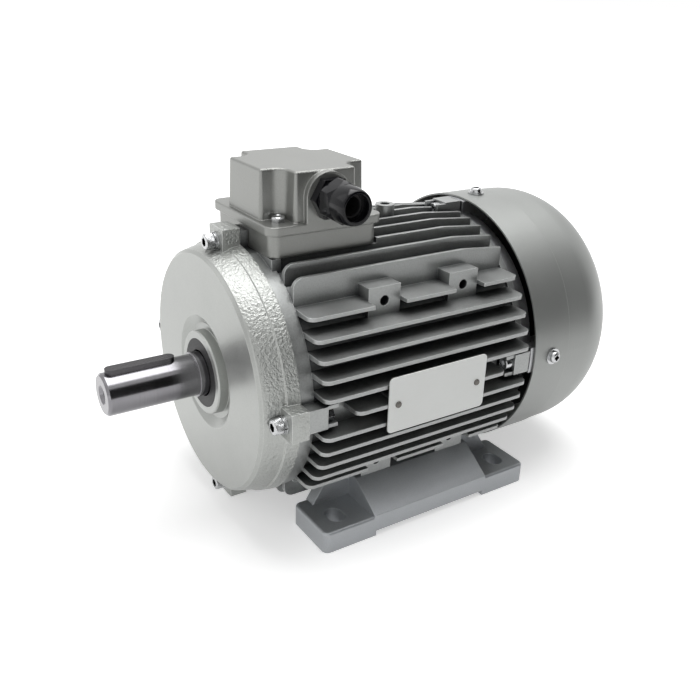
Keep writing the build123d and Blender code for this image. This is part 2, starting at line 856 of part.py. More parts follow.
def foot(side):
    """One foot: a bar with slotted ends, a raised seat with a sloping side, and a web along its inside."""
    half_seat = foot_seat_length / 2
    top = floor_z + foot_thickness
    bar = block(foot_inner, foot_outer, -foot_half_length, foot_half_length, floor_z, top)
    bar = fillet(bar.edges().filter_by(Axis.Z), foot_corner_r)
    rim = bar.faces().sort_by(Axis.Z)[-1].edges()
    bar = fillet(rim, foot_edge_r)
    seat = along_shaft(
        [
            (foot_inner, floor_z),
            (foot_outer, floor_z),
            (foot_outer, floor_z + foot_edge_height),
            (pad_face, -seat_drop),
            (foot_inner, -seat_drop),
        ],
        -half_seat, half_seat,
    )
    web_profile = Plane(origin=(foot_inner, 0, 0), x_dir=(0, 1, 0), z_dir=(1, 0, 0)) * make_face(
        Polyline(
            (-foot_web_base / 2, floor_z + 1),
            (foot_web_base / 2, floor_z + 1),
            (foot_web_base / 2, top),
            (foot_web_top / 2, -seat_drop),
            (-foot_web_top / 2, -seat_drop),
            (-foot_web_base / 2, top),
            close=True,
        )
    )
    body = bar + seat + extrude(web_profile, foot_web_width)
    half_relief = foot_relief_length / 2
    body -= block(
        foot_inner - 1, foot_outer + 1, -half_relief, half_relief, floor_z - 1, floor_z + foot_relief_depth
    )
    for end in (-1, 1):
        slot = extrude(SlotOverall(foot_slot_length, foot_bolt_hole_d), foot_thickness + 2)
        body -= Pos(foot_pitch_across / 2, end * foot_pitch_along / 2, floor_z - 1) * slot
        y = end * pad_pitch / 2
        seat_z = floor_z + foot_screw_floor_gap + foot_screw_head_height
        body -= rod(
            foot_screw_d / 2 + screw_hole_gap, (foot_screw_x, y, floor_z), (foot_screw_x, y, -seat_drop + 1)
        )
        body -= rod(
            foot_screw_head_d / 2 + screw_hole_gap, (foot_screw_x, y, floor_z), (foot_screw_x, y, seat_z)
        )
    return body if side > 0 else mirror(body, Plane.YZ)


def foot_screws():
    """Four screws put in from below that hold the feet to the housing."""
    screws = []
    seat = floor_z + foot_screw_floor_gap + foot_screw_head_height
    for side in (-1, 1):
        for end in (-1, 1):
            x = side * foot_screw_x
            y = end * pad_pitch / 2
            low = seat - foot_screw_head_height
            screw = rod(foot_screw_d / 2, (x, y, seat), (x, y, seat + foot_screw_length))
            screw += rod(foot_screw_head_d / 2, (x, y, low), (x, y, seat))
            screw -= hex_rod(6.0, (x, y, low - 1), (x, y, low + 4.0), across=(1, 0, 0))
            screws.append(screw)
    return screws


def nameplate():
    """Bare plate with rounded corners on the right side fins."""
    face = RectangleRounded(plate_length, plate_height, plate_corner_r)
    place = Plane(origin=(plate_x, plate_y, 0), x_dir=(0, 1, 0), z_dir=(1, 0, 0))
    plate = extrude(place * face, plate_thickness)
    for end in (-1, 1):
        y = plate_y + end * rivet_pitch / 2
        plate -= rod(rivet_d / 2 + fit_gap, (plate_x - 1, y, 0), (plate_x + plate_thickness + 1, y, 0))
    return plate


def nameplate_rivets():
    """Two round-head rivets of the nameplate."""
    rivets = []
    for end in (-1, 1):
        y = plate_y + end * rivet_pitch / 2
        seat = plate_x + plate_thickness
        rivet = rod(rivet_d / 2, (plate_x - rivet_length + 1, y, 0), (seat, y, 0))
        head = rod(rivet_head_d / 2, (seat, y, 0), (seat + rivet_head_height, y, 0))
        top = head.edges().filter_by(GeomType.CIRCLE).sort_by(Axis.X)[-1]
        rivets.append(rivet + fillet(top, rivet_head_height * 0.8))
    return rivets


def bearing_races(start):
    """Outer and inner ring of a ball bearing, with their grooves."""
    pitch_r = (bearing_bore_d + bearing_outer_d) / 4
    groove = Torus(pitch_r, ball_d / 2 + ball_gap)
    middle = start + bearing_width / 2
    groove = Pos(0, middle, 0) * Rot(90, 0, 0) * groove
    end = start + bearing_width
    outer = ring(bearing_outer_d / 2, pitch_r + ball_d / 2 - race_shoulder, start, end) - groove
    inner = ring(pitch_r - ball_d / 2 + race_shoulder, bearing_bore_d / 2 + fit_gap, start, end) - groove
    return outer, inner


def bearing_balls(start):
    """Balls of a bearing."""
    pitch_r = (bearing_bore_d + bearing_outer_d) / 4
    middle = start + bearing_width / 2
    ball = Pos(0, middle, pitch_r) * Sphere(ball_d / 2)
    return [Rot(0, 360 / ball_count * step, 0) * ball for step in range(ball_count)]


def bearing_cage(start):
    """Cage that spaces the balls."""
    pitch_r = (bearing_bore_d + bearing_outer_d) / 4
    middle = start + bearing_width / 2
    cage = ring(
        pitch_r + cage_thickness / 2, pitch_r - cage_thickness / 2, middle - cage_width / 2, middle + cage_width / 2
    )
    for step in range(ball_count):
        pocket = rod(
            ball_d / 2 + 0.15, (0, middle, pitch_r - cage_thickness), (0, middle, pitch_r + cage_thickness)
        )
        cage -= Rot(0, 360 / ball_count * step, 0) * pocket
    return cage


def shaft_seal(face, inward):
    """Rubber lip seal whose outer face lies at the hub face."""
    outer = seal_outer_d / 2 - fit_gap
    lip = bearing_bore_d / 2 + running_gap
    back = face + inward * seal_width
    return turned(
        (outer, face),
        (outer, back),
        (outer - seal_wall, back),
        (outer - seal_wall, face + inward * seal_wall),
        (lip + 2.0, face + inward * seal_wall),
        (lip + 1.4, face + inward * (seal_wall + seal_lip_width)),
        (lip, face + inward * (seal_wall + seal_lip_width)),
        (lip, face + inward * (seal_wall + 0.8)),
        (lip + 0.7, face),
    )


def shaft():
    """Stepped shaft with its keyways, centre hole and collars."""
    end = shoulder_y - shaft_end_length
    journal_r = bearing_bore_d / 2
    front_collar = front_bearing_y + bearing_width
    seat_front = core_front - end_ring_length - 2.0
    seat_rear = core_rear + end_ring_length + 2.0
    rear_end = rear_bearing_y + bearing_width
    body = turned(
        (0, end),
        (shaft_end_d / 2 - shaft_end_chamfer, end),
        (shaft_end_d / 2, end + shaft_end_chamfer),
        (shaft_end_d / 2, shoulder_y),
        (journal_r - 0.3, shoulder_y),
        (journal_r, shoulder_y + 0.3),
        (journal_r, front_collar),
        (shaft_collar_d / 2, front_collar),
        (shaft_collar_d / 2, seat_front),
        (core_seat_d / 2, seat_front),
        (core_seat_d / 2, seat_rear),
        (shaft_collar_d / 2, seat_rear),
        (shaft_collar_d / 2, rear_bearing_y),
        (journal_r, rear_bearing_y),
        (journal_r, rear_hub_face + 1.0),
        (fan_seat_d / 2, rear_hub_face + 1.0),
        (fan_seat_d / 2, shaft_rear - 1.0),
        (fan_seat_d / 2 - 1.0, shaft_rear),
        (0, shaft_rear),
    )
    body -= keyway(key_width, key_length, end + key_end_gap, shaft_end_d / 2 - key_depth, shaft_end_d / 2 + 1)
    body -= keyway(
        fan_key_width, fan_width - 6.0, fan_front + 3.0, fan_seat_d / 2 - fan_key_depth, fan_seat_d / 2 + 1
    )
    body -= rod(centre_hole_d / 2, (0, end - 1, 0), (0, end + centre_hole_depth, 0))
    flare = turned(
        (0, end - 0.01),
        (centre_hole_d / 2 + centre_hole_chamfer, end - 0.01),
        (centre_hole_d / 2, end + centre_hole_chamfer),
        (0, end + centre_hole_chamfer),
    )
    body -= flare
    body -= ring(
        fan_seat_d / 2 + 1, fan_seat_d / 2 - 0.8, fan_rear + 0.1, fan_rear + 0.1 + fan_clip_width + 0.1
    )
    return body


def keyway(width, length, start, low, high):
    """Round-ended pocket or bar on top of the shaft, between two heights."""
    outline = SlotOverall(length, width, rotation=90)
    return extrude(Pos(0, start + length / 2, low) * outline, high - low)


def shaft_key():
    """Key of the shaft end."""
    end = shoulder_y - shaft_end_length
    low = shaft_end_d / 2 - key_depth
    gap = fit_gap
    return keyway(key_width - 2 * gap, key_length - 2 * gap, end + key_end_gap + gap, low, low + key_height)


def fan_key():
    """Key that drives the fan."""
    low = fan_seat_d / 2 - fan_key_depth
    gap = fit_gap
    return keyway(
        fan_key_width - 2 * gap, fan_width - 6.0 - 2 * gap, fan_front + 3.0 + gap, low, low + fan_key_height
    )


def rotor_bars(gap):
    """Straight bars of the cage, or the slots that hold them when a gap is added."""
    top = rotor_r - rotor_bar_cover + gap
    low = top - rotor_bar_height - 2 * gap
    half = rotor_bar_width / 2 + gap
    reach = 2 * gap
    bar = block(-half, half, core_front - reach, core_rear + reach, low, top)
    return [Rot(0, 360 / rotor_bar_count * step, 0) * bar for step in range(rotor_bar_count)]


def rotor_core():
    """Laminated rotor core with slots for the cage bars."""
    return ring(rotor_r, core_seat_d / 2 + fit_gap, core_front, core_rear) - rotor_bars(fit_gap)


def rotor_cage():
    """Cast cage: bars, two end rings and their stirring vanes."""
    outer = rotor_r - rotor_bar_cover
    inner = outer - end_ring_height
    cage = ring(outer, inner, core_front - end_ring_length, core_front)
    cage += ring(outer, inner, core_rear, core_rear + end_ring_length)
    middle = (outer + inner) / 2
    vanes = []
    for step in range(vane_count):
        for start, end in (
            (core_front - end_ring_length - vane_length, core_front - end_ring_length),
            (core_rear + end_ring_length, core_rear + end_ring_length + vane_length),
        ):
            vane = block(
                -vane_thickness / 2, vane_thickness / 2, start, end, middle - vane_height / 2, middle + vane_height / 2
            )
            vanes.append(Rot(0, 360 / vane_count * step, 0) * vane)
    return cage + vanes + rotor_bars(0)


def stator_core():
    """Laminated stator core with open slots."""
    core = ring(core_r, stator_bore_r, core_front, core_rear)
    slot = block(
        -slot_width / 2, slot_width / 2, core_front - 1, core_rear + 1,
        stator_bore_r + slot_mouth, stator_bore_r + slot_mouth + slot_depth,
    )
    mouth = block(
        -slot_mouth / 2, slot_mouth / 2, core_front - 1, core_rear + 1, stator_bore_r - 1, stator_bore_r + slot_mouth + 1
    )
    return core - [Rot(0, 360 / slot_count * step, 0) * (slot + mouth) for step in range(slot_count)]


def stator_winding():
    """Copper winding: bars in the slots and a rounded bundle at each end."""
    low = stator_bore_r + slot_mouth + winding_gap
    high = stator_bore_r + slot_mouth + slot_depth - winding_gap
    half = slot_width / 2 - winding_gap
    bar = block(-half, half, core_front - 1, core_rear + 1, low, high)
    winding = [Rot(0, 360 / slot_count * step, 0) * bar for step in range(slot_count)]
    bundles = []
    for start, end in (
        (core_front - end_winding_length, core_front - winding_gap),
        (core_rear + winding_gap, core_rear + end_winding_length),
    ):
        bundle = ring(high + 2.0, low, start, end)
        free_end = end if end > core_rear else start
        rims = [
            edge
            for edge in bundle.edges().filter_by(GeomType.CIRCLE) if abs(edge.center().Y - free_end) < 0.1
        ]
        bundles.append(chamfer(rims, end_winding_chamfer))
    return bundles[0] + bundles[1] + winding


def cooling_fan():
    """Plastic fan: hub, disc and straight radial blades that work in both directions."""
    fan = ring(fan_hub_r, fan_seat_d / 2 + fit_gap, fan_front, fan_rear)
    fan += ring(fan_r, fan_hub_r - 2, fan_front, fan_front + fan_disc)
    blade = along_blade()
    fan += [Rot(0, 360 / fan_blades * step, 0) * blade for step in range(fan_blades)]
    low = fan_seat_d / 2 - fan_key_depth
    fan -= keyway(fan_key_width, fan_width - 6.0, fan_front + 3.0, low, low + fan_key_height + fit_gap)
    fan -= block(
        -fan_key_width / 2, fan_key_width / 2, fan_front - 1, fan_rear - 3.0 - fan_key_width / 2,
        0, low + fan_key_height + fit_gap,
    )
    return fan


def along_blade():
    """One fan blade, standing up from the shaft, narrower towards the hub."""
    outline = Polyline(
        (fan_front + 0.5, fan_blade_root_r),
        (fan_front + 0.5, fan_r - 1.0),
        (fan_rear, fan_r - 4.0),
        (fan_rear, fan_r - 24.0),
        (fan_rear - 12.0, fan_blade_root_r),
        close=True,
    )
    place = Plane(origin=(-fan_blade_thickness / 2, 0, 0), x_dir=(0, 1, 0), z_dir=(1, 0, 0))
    return extrude(place * make_face(outline), fan_blade_thickness)


def fan_clip():
    """Retaining ring behind the fan."""
    clip = ring(
        fan_seat_d / 2 - 0.8 + fan_clip_wall,
        fan_seat_d / 2 - 0.8 + fit_gap,
        fan_rear + 0.1,
        fan_rear + 0.1 + fan_clip_width,
    )
    return clip - block(-2.5, 2.5, fan_rear - 1, fan_rear + 5, -fan_seat_d, 0)


def rounded_tray(half, corner_r, low, high):
    """Square block with rounded upright corners, centred over the box seat."""
    face = RectangleRounded(2 * half, 2 * half, corner_r)
    return extrude(Pos(0, box_y, low) * face, high - low)


def box_corners(offset):
    """Four places on a square round the middle of the terminal box."""
    return [(x * offset, box_y + y * offset) for x in (-1, 1) for y in (-1, 1)]


def upright_rods(places, radius, low, high):
    """Upright rods of one size at several places."""
    return [rod(radius, (x, y, low), (x, y, high)) for x, y in places]


def box_hollow(low, high):
    """Inside of the tray and its gasket, without the four screw bosses."""
    inside = rounded_tray(box_half - box_wall, box_corner_r - box_wall, low, high)
    return inside - upright_rods(box_corners(cover_screw_offset), corner_boss_r, low - 1, high + 1)


def board_posts():
    """Two places where the terminal board is screwed down."""
    return [(side * board_screw_offset, box_y) for side in (-1, 1)]


def stud_places():
    """Six studs in two rows of three."""
    rows = (box_y - stud_pitch_along / 2, box_y + stud_pitch_along / 2)
    return [(column * stud_pitch_across, y) for column in (-1, 0, 1) for y in rows]


def terminal_box_base():
    """Tray that stands on the housing neck, open at the top, with bosses for the cover screws."""
    low = box_bottom + base_gasket
    tray = rounded_tray(box_half, box_corner_r, low, box_top) - box_hollow(box_floor_top, box_top + 1)
    tray += upright_rods(board_posts(), board_post_r, box_floor_top - 1, board_bottom)
    cuts = upright_rods(
        box_corners(cover_screw_offset), cover_screw_d / 2 + thread_gap, box_top - cover_thread_depth, box_top + 1
    )
    cuts += upright_rods(
        box_corners(box_screw_offset), box_screw_d / 2 + screw_hole_gap, low - 1, box_floor_top + 1
    )
    cuts += upright_rods(
        board_posts(), board_screw_d / 2 + thread_gap, board_top - board_screw_length - 1, board_bottom + 1
    )
    cuts += upright_rods(
        [(earth_screw_x, box_y + earth_screw_y)], board_screw_d / 2 + thread_gap, low + 0.4, box_floor_top + 1
    )
    cuts.append(rod(lead_hole_r, (0, lead_hole_y, low - 1), (0, lead_hole_y, box_floor_top + 1)))
    return tray - cuts


def neck_outline(low, high):
    """Footprint of the tray on the housing: full width over the front rim, narrower behind it."""
    front = box_y - box_half
    step = housing_front + front_rim_width + 3.0
    rear = box_y + box_half - neck_rear_gap
    return block(-neck_half, neck_half, front, rear, low, high) + block(
        -box_half, box_half, front, step, low, high
    )


def box_base_gasket():
    """Gasket between the housing neck and the tray."""
    low = box_bottom
    high = low + base_gasket
    cuts = upright_rods(box_corners(box_screw_offset), box_screw_d / 2 + screw_hole_gap, low - 1, high + 1)
    cuts.append(rod(lead_hole_r, (0, lead_hole_y, low - 1), (0, lead_hole_y, high + 1)))
    return neck_outline(low, high) - cuts


def cover_gasket():
    """Gasket between the tray and the cover."""
    sheet = rounded_tray(box_half, box_corner_r, box_top, cover_bottom) - box_hollow(
        box_top - 1, cover_bottom + 1
    )
    return sheet - upright_rods(
        box_corners(cover_screw_offset), cover_screw_d / 2 + screw_hole_gap, box_top - 1, cover_bottom + 1
    )


def scooped_outline(half, reach, inner_r, outer_r):
    """Square with its four corners scooped out for the screws."""
    bar = Rectangle(2 * half, 2 * (half - reach))
    cross = bar + Rot(0, 0, 90) * bar
    nearest = cross.vertices().sort_by(lambda corner: Vector(corner.X, corner.Y).length)
    cross = fillet(nearest[:4], inner_r)
    farthest = cross.vertices().sort_by(lambda corner: Vector(corner.X, corner.Y).length)
    return fillet(farthest[-8:], outer_r)


def terminal_box_cover():
    """Cover with its flange, scooped corners, drafted walls and the raised seat of the gland."""
    height = cover_top - cover_seat
    flange = rounded_tray(cover_half, cover_corner_r, cover_bottom, cover_seat)
    flange = fillet(flange.faces().sort_by(Axis.Z)[-1].edges(), cover_edge_r / 2)
    outline = scooped_outline(cover_body_half, scoop_reach, scoop_r, cover_body_corner_r)
    body = extrude(Pos(0, box_y, cover_seat) * outline, height, taper=cover_draft_angle)
    body = fillet(body.faces().sort_by(Axis.Z)[-1].edges(), cover_edge_r)
    seat = rod(gland_boss_r, (cover_body_half - 5.0, box_y, gland_z), (cover_half, box_y, gland_z))
    seat += block(
        cover_body_half - 5.0, cover_half, box_y - gland_boss_r, box_y + gland_boss_r, cover_seat - 1, gland_z
    )
    inner = scooped_outline(
        cover_body_half - cover_wall - 1.0, scoop_reach, scoop_r + cover_wall, cover_body_corner_r
    )
    hollow = extrude(Pos(0, box_y, cover_bottom - 1) * inner, cover_top - cover_wall - cover_bottom + 1)
    cuts = upright_rods(
        box_corners(cover_screw_offset), cover_screw_d / 2 + screw_hole_gap, cover_bottom - 1, cover_seat + 1
    )
    cuts.append(rod(gland_thread_d / 2 + thread_gap, (cover_body_half - scoop_reach, box_y, gland_z), (cover_half + 1, box_y, gland_z)))
    return flange + body + seat - hollow - cuts


def cover_screws():
    """Four hex-head screws of the cover."""
    screws = []
    for x, y in box_corners(cover_screw_offset):
        top = cover_seat + cover_screw_head
        head = hex_rod(cover_screw_flats, (x, y, cover_seat), (x, y, top), across=(1, 0, 0))
        screws.append(
            head + rod(cover_screw_d / 2, (x, y, cover_seat - cover_screw_length), (x, y, cover_seat))
        )
    return screws


def round_head_screw(x, y, seat, diameter, length, head_d, head_height, slot):
    """Upright slotted screw with a round head."""
    screw = rod(diameter / 2, (x, y, seat - length), (x, y, seat))
    head = rod(head_d / 2, (x, y, seat), (x, y, seat + head_height))
    cut = block(
        x - head_d, x + head_d, y - slot / 2, y + slot / 2, seat + head_height / 2, seat + head_height + 1
    )
    return screw + (head - cut)


def box_screws():
    """Four screws that hold the tray to the housing."""
    return [
        round_head_screw(
            x, y, box_floor_top, box_screw_d, box_screw_length, box_screw_head_d, box_screw_head, 1.2
        )
        for x, y in box_corners(box_screw_offset)
    ]


def terminal_board():
    """Insulating board with holes for its studs and screws."""
    board = block(
        -board_length / 2, board_length / 2, box_y - board_width / 2, box_y + board_width / 2, board_bottom, board_top
    )
    board = fillet(board.edges().filter_by(Axis.Z), 3.0)
    ribs = [
        block(
            x - 0.8, x + 0.8, box_y - board_width / 2, box_y + board_width / 2, board_top - 1, board_top + 4.0
        )
        for x in (-stud_pitch_across / 2, stud_pitch_across / 2)
    ]
    cuts = upright_rods(stud_places(), stud_d / 2 + fit_gap, board_bottom - 1, board_top + 1)
    cuts += upright_rods(board_posts(), board_screw_d / 2 + screw_hole_gap, board_bottom - 1, board_top + 1)
    return board + ribs - cuts


def board_screws():
    """Two screws that hold the terminal board."""
    return [
        round_head_screw(
            x, y, board_top, board_screw_d, board_screw_length, board_screw_head_d, board_screw_head, 1.0
        )
        for x, y in board_posts()
    ]


def earth_screw():
    """Earth terminal screw with its square clamp washer, on the floor of the tray."""
    x = earth_screw_x
    y = box_y + earth_screw_y
    washer_top = box_floor_top + 1.5
    screw = round_head_screw(x, y, washer_top, board_screw_d, 4.4, board_screw_head_d, board_screw_head, 1.0)
    return screw + block(x - 4.5, x + 4.5, y - 4.5, y + 4.5, box_floor_top, washer_top)


def terminal_studs():
    """Six threaded studs with hexagonal heads under the board."""
    studs = []
    for x, y in stud_places():
        head = hex_rod(
            stud_nut_flats, (x, y, board_bottom - stud_head_height), (x, y, board_bottom), across=(1, 0, 0)
        )
        studs.append(head + rod(stud_d / 2, (x, y, board_bottom), (x, y, board_bottom + stud_length)))
    return studs


def terminal_links():
    """Three links that join the studs in pairs."""
    links = []
    for column in (-1, 0, 1):
        x = column * stud_pitch_across
        outline = SlotCenterToCenter(stud_pitch_along, link_width, rotation=90)
        link = extrude(Pos(x, box_y, board_top) * outline, link_thickness)
        holes = [place for place in stud_places() if place[0] == x]
        links.append(link - upright_rods(holes, stud_d / 2 + thread_gap, board_top - 1, board_top + 2))
    return links


def terminal_nuts():
    """Six nuts that clamp the links."""
    low = board_top + link_thickness
    high = low + stud_nut_height
    nuts = []
    for x, y in stud_places():
        nut = hex_rod(stud_nut_flats, (x, y, low), (x, y, high), across=(1, 0, 0))
        nuts.append(nut - rod(stud_d / 2 + thread_gap, (x, y, low - 1), (x, y, high + 1)))
    return nuts


def gland_turned(*outline):
    """Solid turned round the axis of the gland from (radius, x) corners."""
    place = Plane(origin=(0, box_y, gland_z), x_dir=(0, 0, 1), z_dir=(0, 1, 0))
    face = place * make_face(Polyline(*outline, close=True))
    return revolve(face, Axis((0, box_y, gland_z), (1, 0, 0)), 360)


def gland_hex(flats, start, end):
    """Hexagonal rod on the axis of the gland, with a flat on top."""
    return hex_rod(flats, (start, box_y, gland_z), (end, box_y, gland_z), across=(0, 1, 0))


def gland_body():
    """Body of the cable gland: thread, hexagon, collar and the sleeve under the nut."""
    collar_start = cover_half + gland_hex_length
    sleeve_end = gland_nut_end - gland_mouth_depth - 0.5
    body = gland_turned(
        (gland_sleeve_bore_r, cover_half - gland_inner_reach),
        (gland_thread_d / 2, cover_half - gland_inner_reach),
        (gland_thread_d / 2, cover_half + 0.5),
        (gland_collar_r, cover_half + 0.5),
        (gland_collar_r, gland_nut_start),
        (gland_sleeve_r, gland_nut_start),
        (gland_sleeve_r, sleeve_end),
        (gland_sleeve_bore_r, sleeve_end),
    )
    hexagon = gland_hex(gland_flats, cover_half, collar_start)
    return body + (hexagon - rod(gland_collar_r - 1, (cover_half - 1, box_y, gland_z), (collar_start + 1, box_y, gland_z)))


def gland_nut():
    """Dome nut of the gland: a hexagon that runs out into a dome with a flat front ring."""
    corner_r = gland_flats / sqrt(3)
    hex_end = gland_nut_start + gland_nut_hex_length
    shoulder = gland_nut_end - gland_mouth_depth
    dome = gland_turned(
        (0, gland_nut_start),
        (corner_r, gland_nut_start),
        (corner_r, hex_end - 3.0),
        (gland_flats / 2, hex_end),
        (gland_flats / 2 - 0.4, gland_nut_end - 4.0),
        (gland_mouth_ring_r, gland_nut_end - 0.8),
        (gland_mouth_ring_r - 0.8, gland_nut_end),
        (0, gland_nut_end),
    )
    hollow = gland_turned(
        (0, gland_nut_start - 1),
        (gland_sleeve_r + thread_gap, gland_nut_start - 1),
        (gland_sleeve_r + thread_gap, shoulder),
        (gland_mouth_r, shoulder),
        (gland_mouth_r, gland_nut_end + 1),
        (0, gland_nut_end + 1),
    )
    return (dome & gland_hex(gland_flats, gland_nut_start - 1, gland_nut_end + 1)) - hollow


def gland_seal():
    """Rubber sleeve that grips the cable."""
    outer = gland_sleeve_bore_r - fit_gap
    end = gland_nut_end - gland_mouth_depth
    return gland_turned(
        (gland_hole_r, gland_nut_start), (outer, gland_nut_start), (outer, end), (gland_hole_r, end)
    )


def gland_locknut():
    """Thin nut that holds the gland from inside the cover."""
    wall_inside = cover_body_half - cover_wall - 1.0
    start = wall_inside - locknut_height
    hole = rod(
        gland_thread_d / 2 + thread_gap, (start - 1, box_y, gland_z), (wall_inside + 1, box_y, gland_z)
    )
    return gland_hex(locknut_flats, start, wall_inside) - hole


def build_all():
    """Make every piece, lift it to the shaft height and write it."""
    front_outer, front_inner = bearing_races(front_bearing_y)
    rear_outer, rear_inner = bearing_races(rear_bearing_y)
    pieces = {
        "stator_frame": stator_frame(),
        "drive_end_shield": drive_end_shield(),
        "fan_end_shield": fan_end_shield(),
        "fan_cowl": fan_cowl(),
        "cowl_screws": cowl_screws(),
        "cowl_washers": cowl_washers(),
        "front_shield_screws": front_shield_screws(),
        "front_shield_washers": front_shield_washers(),
        "front_shield_nuts": front_shield_nuts(),
        "rear_shield_screws": rear_shield_screws(),
        "right_foot": foot(1),
        "left_foot": foot(-1),
        "foot_screws": foot_screws(),
        "nameplate": nameplate(),
        "nameplate_rivets": nameplate_rivets(),
        "front_bearing_outer_ring": front_outer,
        "front_bearing_inner_ring": front_inner,
        "front_bearing_balls": bearing_balls(front_bearing_y),
        "front_bearing_cage": bearing_cage(front_bearing_y),
        "rear_bearing_outer_ring": rear_outer,
        "rear_bearing_inner_ring": rear_inner,
        "rear_bearing_balls": bearing_balls(rear_bearing_y),
        "rear_bearing_cage": bearing_cage(rear_bearing_y),
        "wave_washer": wave_washer(),
        "front_shaft_seal": shaft_seal(hub_face_y, 1),
        "rear_shaft_seal": shaft_seal(rear_hub_face, -1),
        "shaft": shaft(),
        "shaft_key": shaft_key(),
        "rotor_core": rotor_core(),
        "rotor_cage": rotor_cage(),
        "stator_core": stator_core(),
        "stator_winding": stator_winding(),
        "cooling_fan": cooling_fan(),
        "fan_key": fan_key(),
        "fan_clip": fan_clip(),
        "terminal_box_base": terminal_box_base(),
        "box_base_gasket": box_base_gasket(),
        "box_cover_gasket": cover_gasket(),
        "terminal_box_cover": terminal_box_cover(),
        "box_cover_screws": cover_screws(),
        "box_base_screws": box_screws(),
        "terminal_board": terminal_board(),
        "board_screws": board_screws(),
        "earth_screw": earth_screw(),
        "terminal_studs": terminal_studs(),
        "terminal_links": terminal_links(),
        "terminal_nuts": terminal_nuts(),
        "gland_body": gland_body(),
        "gland_nut": gland_nut(),
        "gland_seal": gland_seal(),
        "gland_locknut": gland_locknut(),
    }
    os.makedirs("parts", exist_ok=True)
    lift = Pos(0, 0, shaft_height)
    for name, piece in pieces.items():
        group = isinstance(piece, list)
        shape = Compound(children=[lift * item for item in piece]) if group else lift * piece
        export_step(shape, f"parts/{name}.step")


build_all()
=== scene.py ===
"""Looks of a foot-mounted, fan-cooled three-phase cage motor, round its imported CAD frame.

The shaft lies along Y with the drive end at -Y, the cable gland is on +X, and Z is up. Lengths in the size
fields are millimetres; Blender works in metres.
"""

import logging
from dataclasses import dataclass, field
from enum import Enum
from math import cos, pi, sin, sqrt, tau
from typing import Any, ClassVar, Optional

import bmesh
import bpy
from mathutils import Matrix, Vector


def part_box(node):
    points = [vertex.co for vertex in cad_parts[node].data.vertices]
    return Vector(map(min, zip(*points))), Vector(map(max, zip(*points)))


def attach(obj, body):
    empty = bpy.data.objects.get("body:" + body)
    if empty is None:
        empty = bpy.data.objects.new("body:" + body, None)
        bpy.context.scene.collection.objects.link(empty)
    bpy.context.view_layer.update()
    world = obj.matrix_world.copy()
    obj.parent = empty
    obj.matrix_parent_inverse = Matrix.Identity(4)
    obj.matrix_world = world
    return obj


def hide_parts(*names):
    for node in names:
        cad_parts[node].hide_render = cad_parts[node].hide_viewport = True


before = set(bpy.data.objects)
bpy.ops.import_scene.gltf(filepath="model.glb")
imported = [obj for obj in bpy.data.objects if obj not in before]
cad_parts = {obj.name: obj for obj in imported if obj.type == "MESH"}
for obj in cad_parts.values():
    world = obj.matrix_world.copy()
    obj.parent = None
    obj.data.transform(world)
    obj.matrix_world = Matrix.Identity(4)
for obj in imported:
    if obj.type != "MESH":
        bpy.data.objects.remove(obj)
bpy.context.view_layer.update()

log = logging.getLogger("motor")

MM = 0.001
SHAFT_HEIGHT = 100.0
STATOR = "stator"
MERGE_DISTANCE = 0.002 * MM
CREASE_ANGLE = 0.6
PLACE_DIGITS = 7
CROSS_ARM_SHARE = 0.42


def linear_colour(code: str) -> tuple[float, float, float, float]:
    """Turn an sRGB hex value into a linear colour.

    Args:
        code: Six hexadecimal digits, with or without a leading hash.

    Returns:
        Linear red, green, blue and an alpha of 1.
    """
    digits = code.lstrip("#")
    channels = [int(digits[i : i + 2], 16) / 255 for i in (0, 2, 4)]
    lit = [c / 12.92 if c <= 0.04045 else ((c + 0.055) / 1.055) ** 2.4 for c in channels]
    return (lit[0], lit[1], lit[2], 1.0)


def add_node(
    tree: bpy.types.NodeTree,
    kind: str,
    settings: Optional[dict[Any, Any]] = None,
    links: Optional[dict[Any, Any]] = None,
) -> bpy.types.Node:
    """Add a shader node with its settings and links.

    Args:
        tree: Node tree that gets the node.
        kind: Blender's name of the node type.
        settings: Values of properties by name, or of input sockets by name or number.
        links: Output sockets to link, by the name or number of the input socket.

    Returns:
        The new node.
    """
    node = tree.nodes.new(kind)
    for key, value in (settings or {}).items():
        if isinstance(key, str) and hasattr(node, key):
            setattr(node, key, value)
        else:
            node.inputs[key].default_value = value
    for key, source in (links or {}).items():
        tree.links.new(source, node.inputs[key])
    return node


class Pattern(Enum):
    """How a surface was made, which sets its fine relief."""

    CAST = "cast"
    TURNED = "turned"
    BRUSHED = "brushed"
    MOULDED = "moulded"


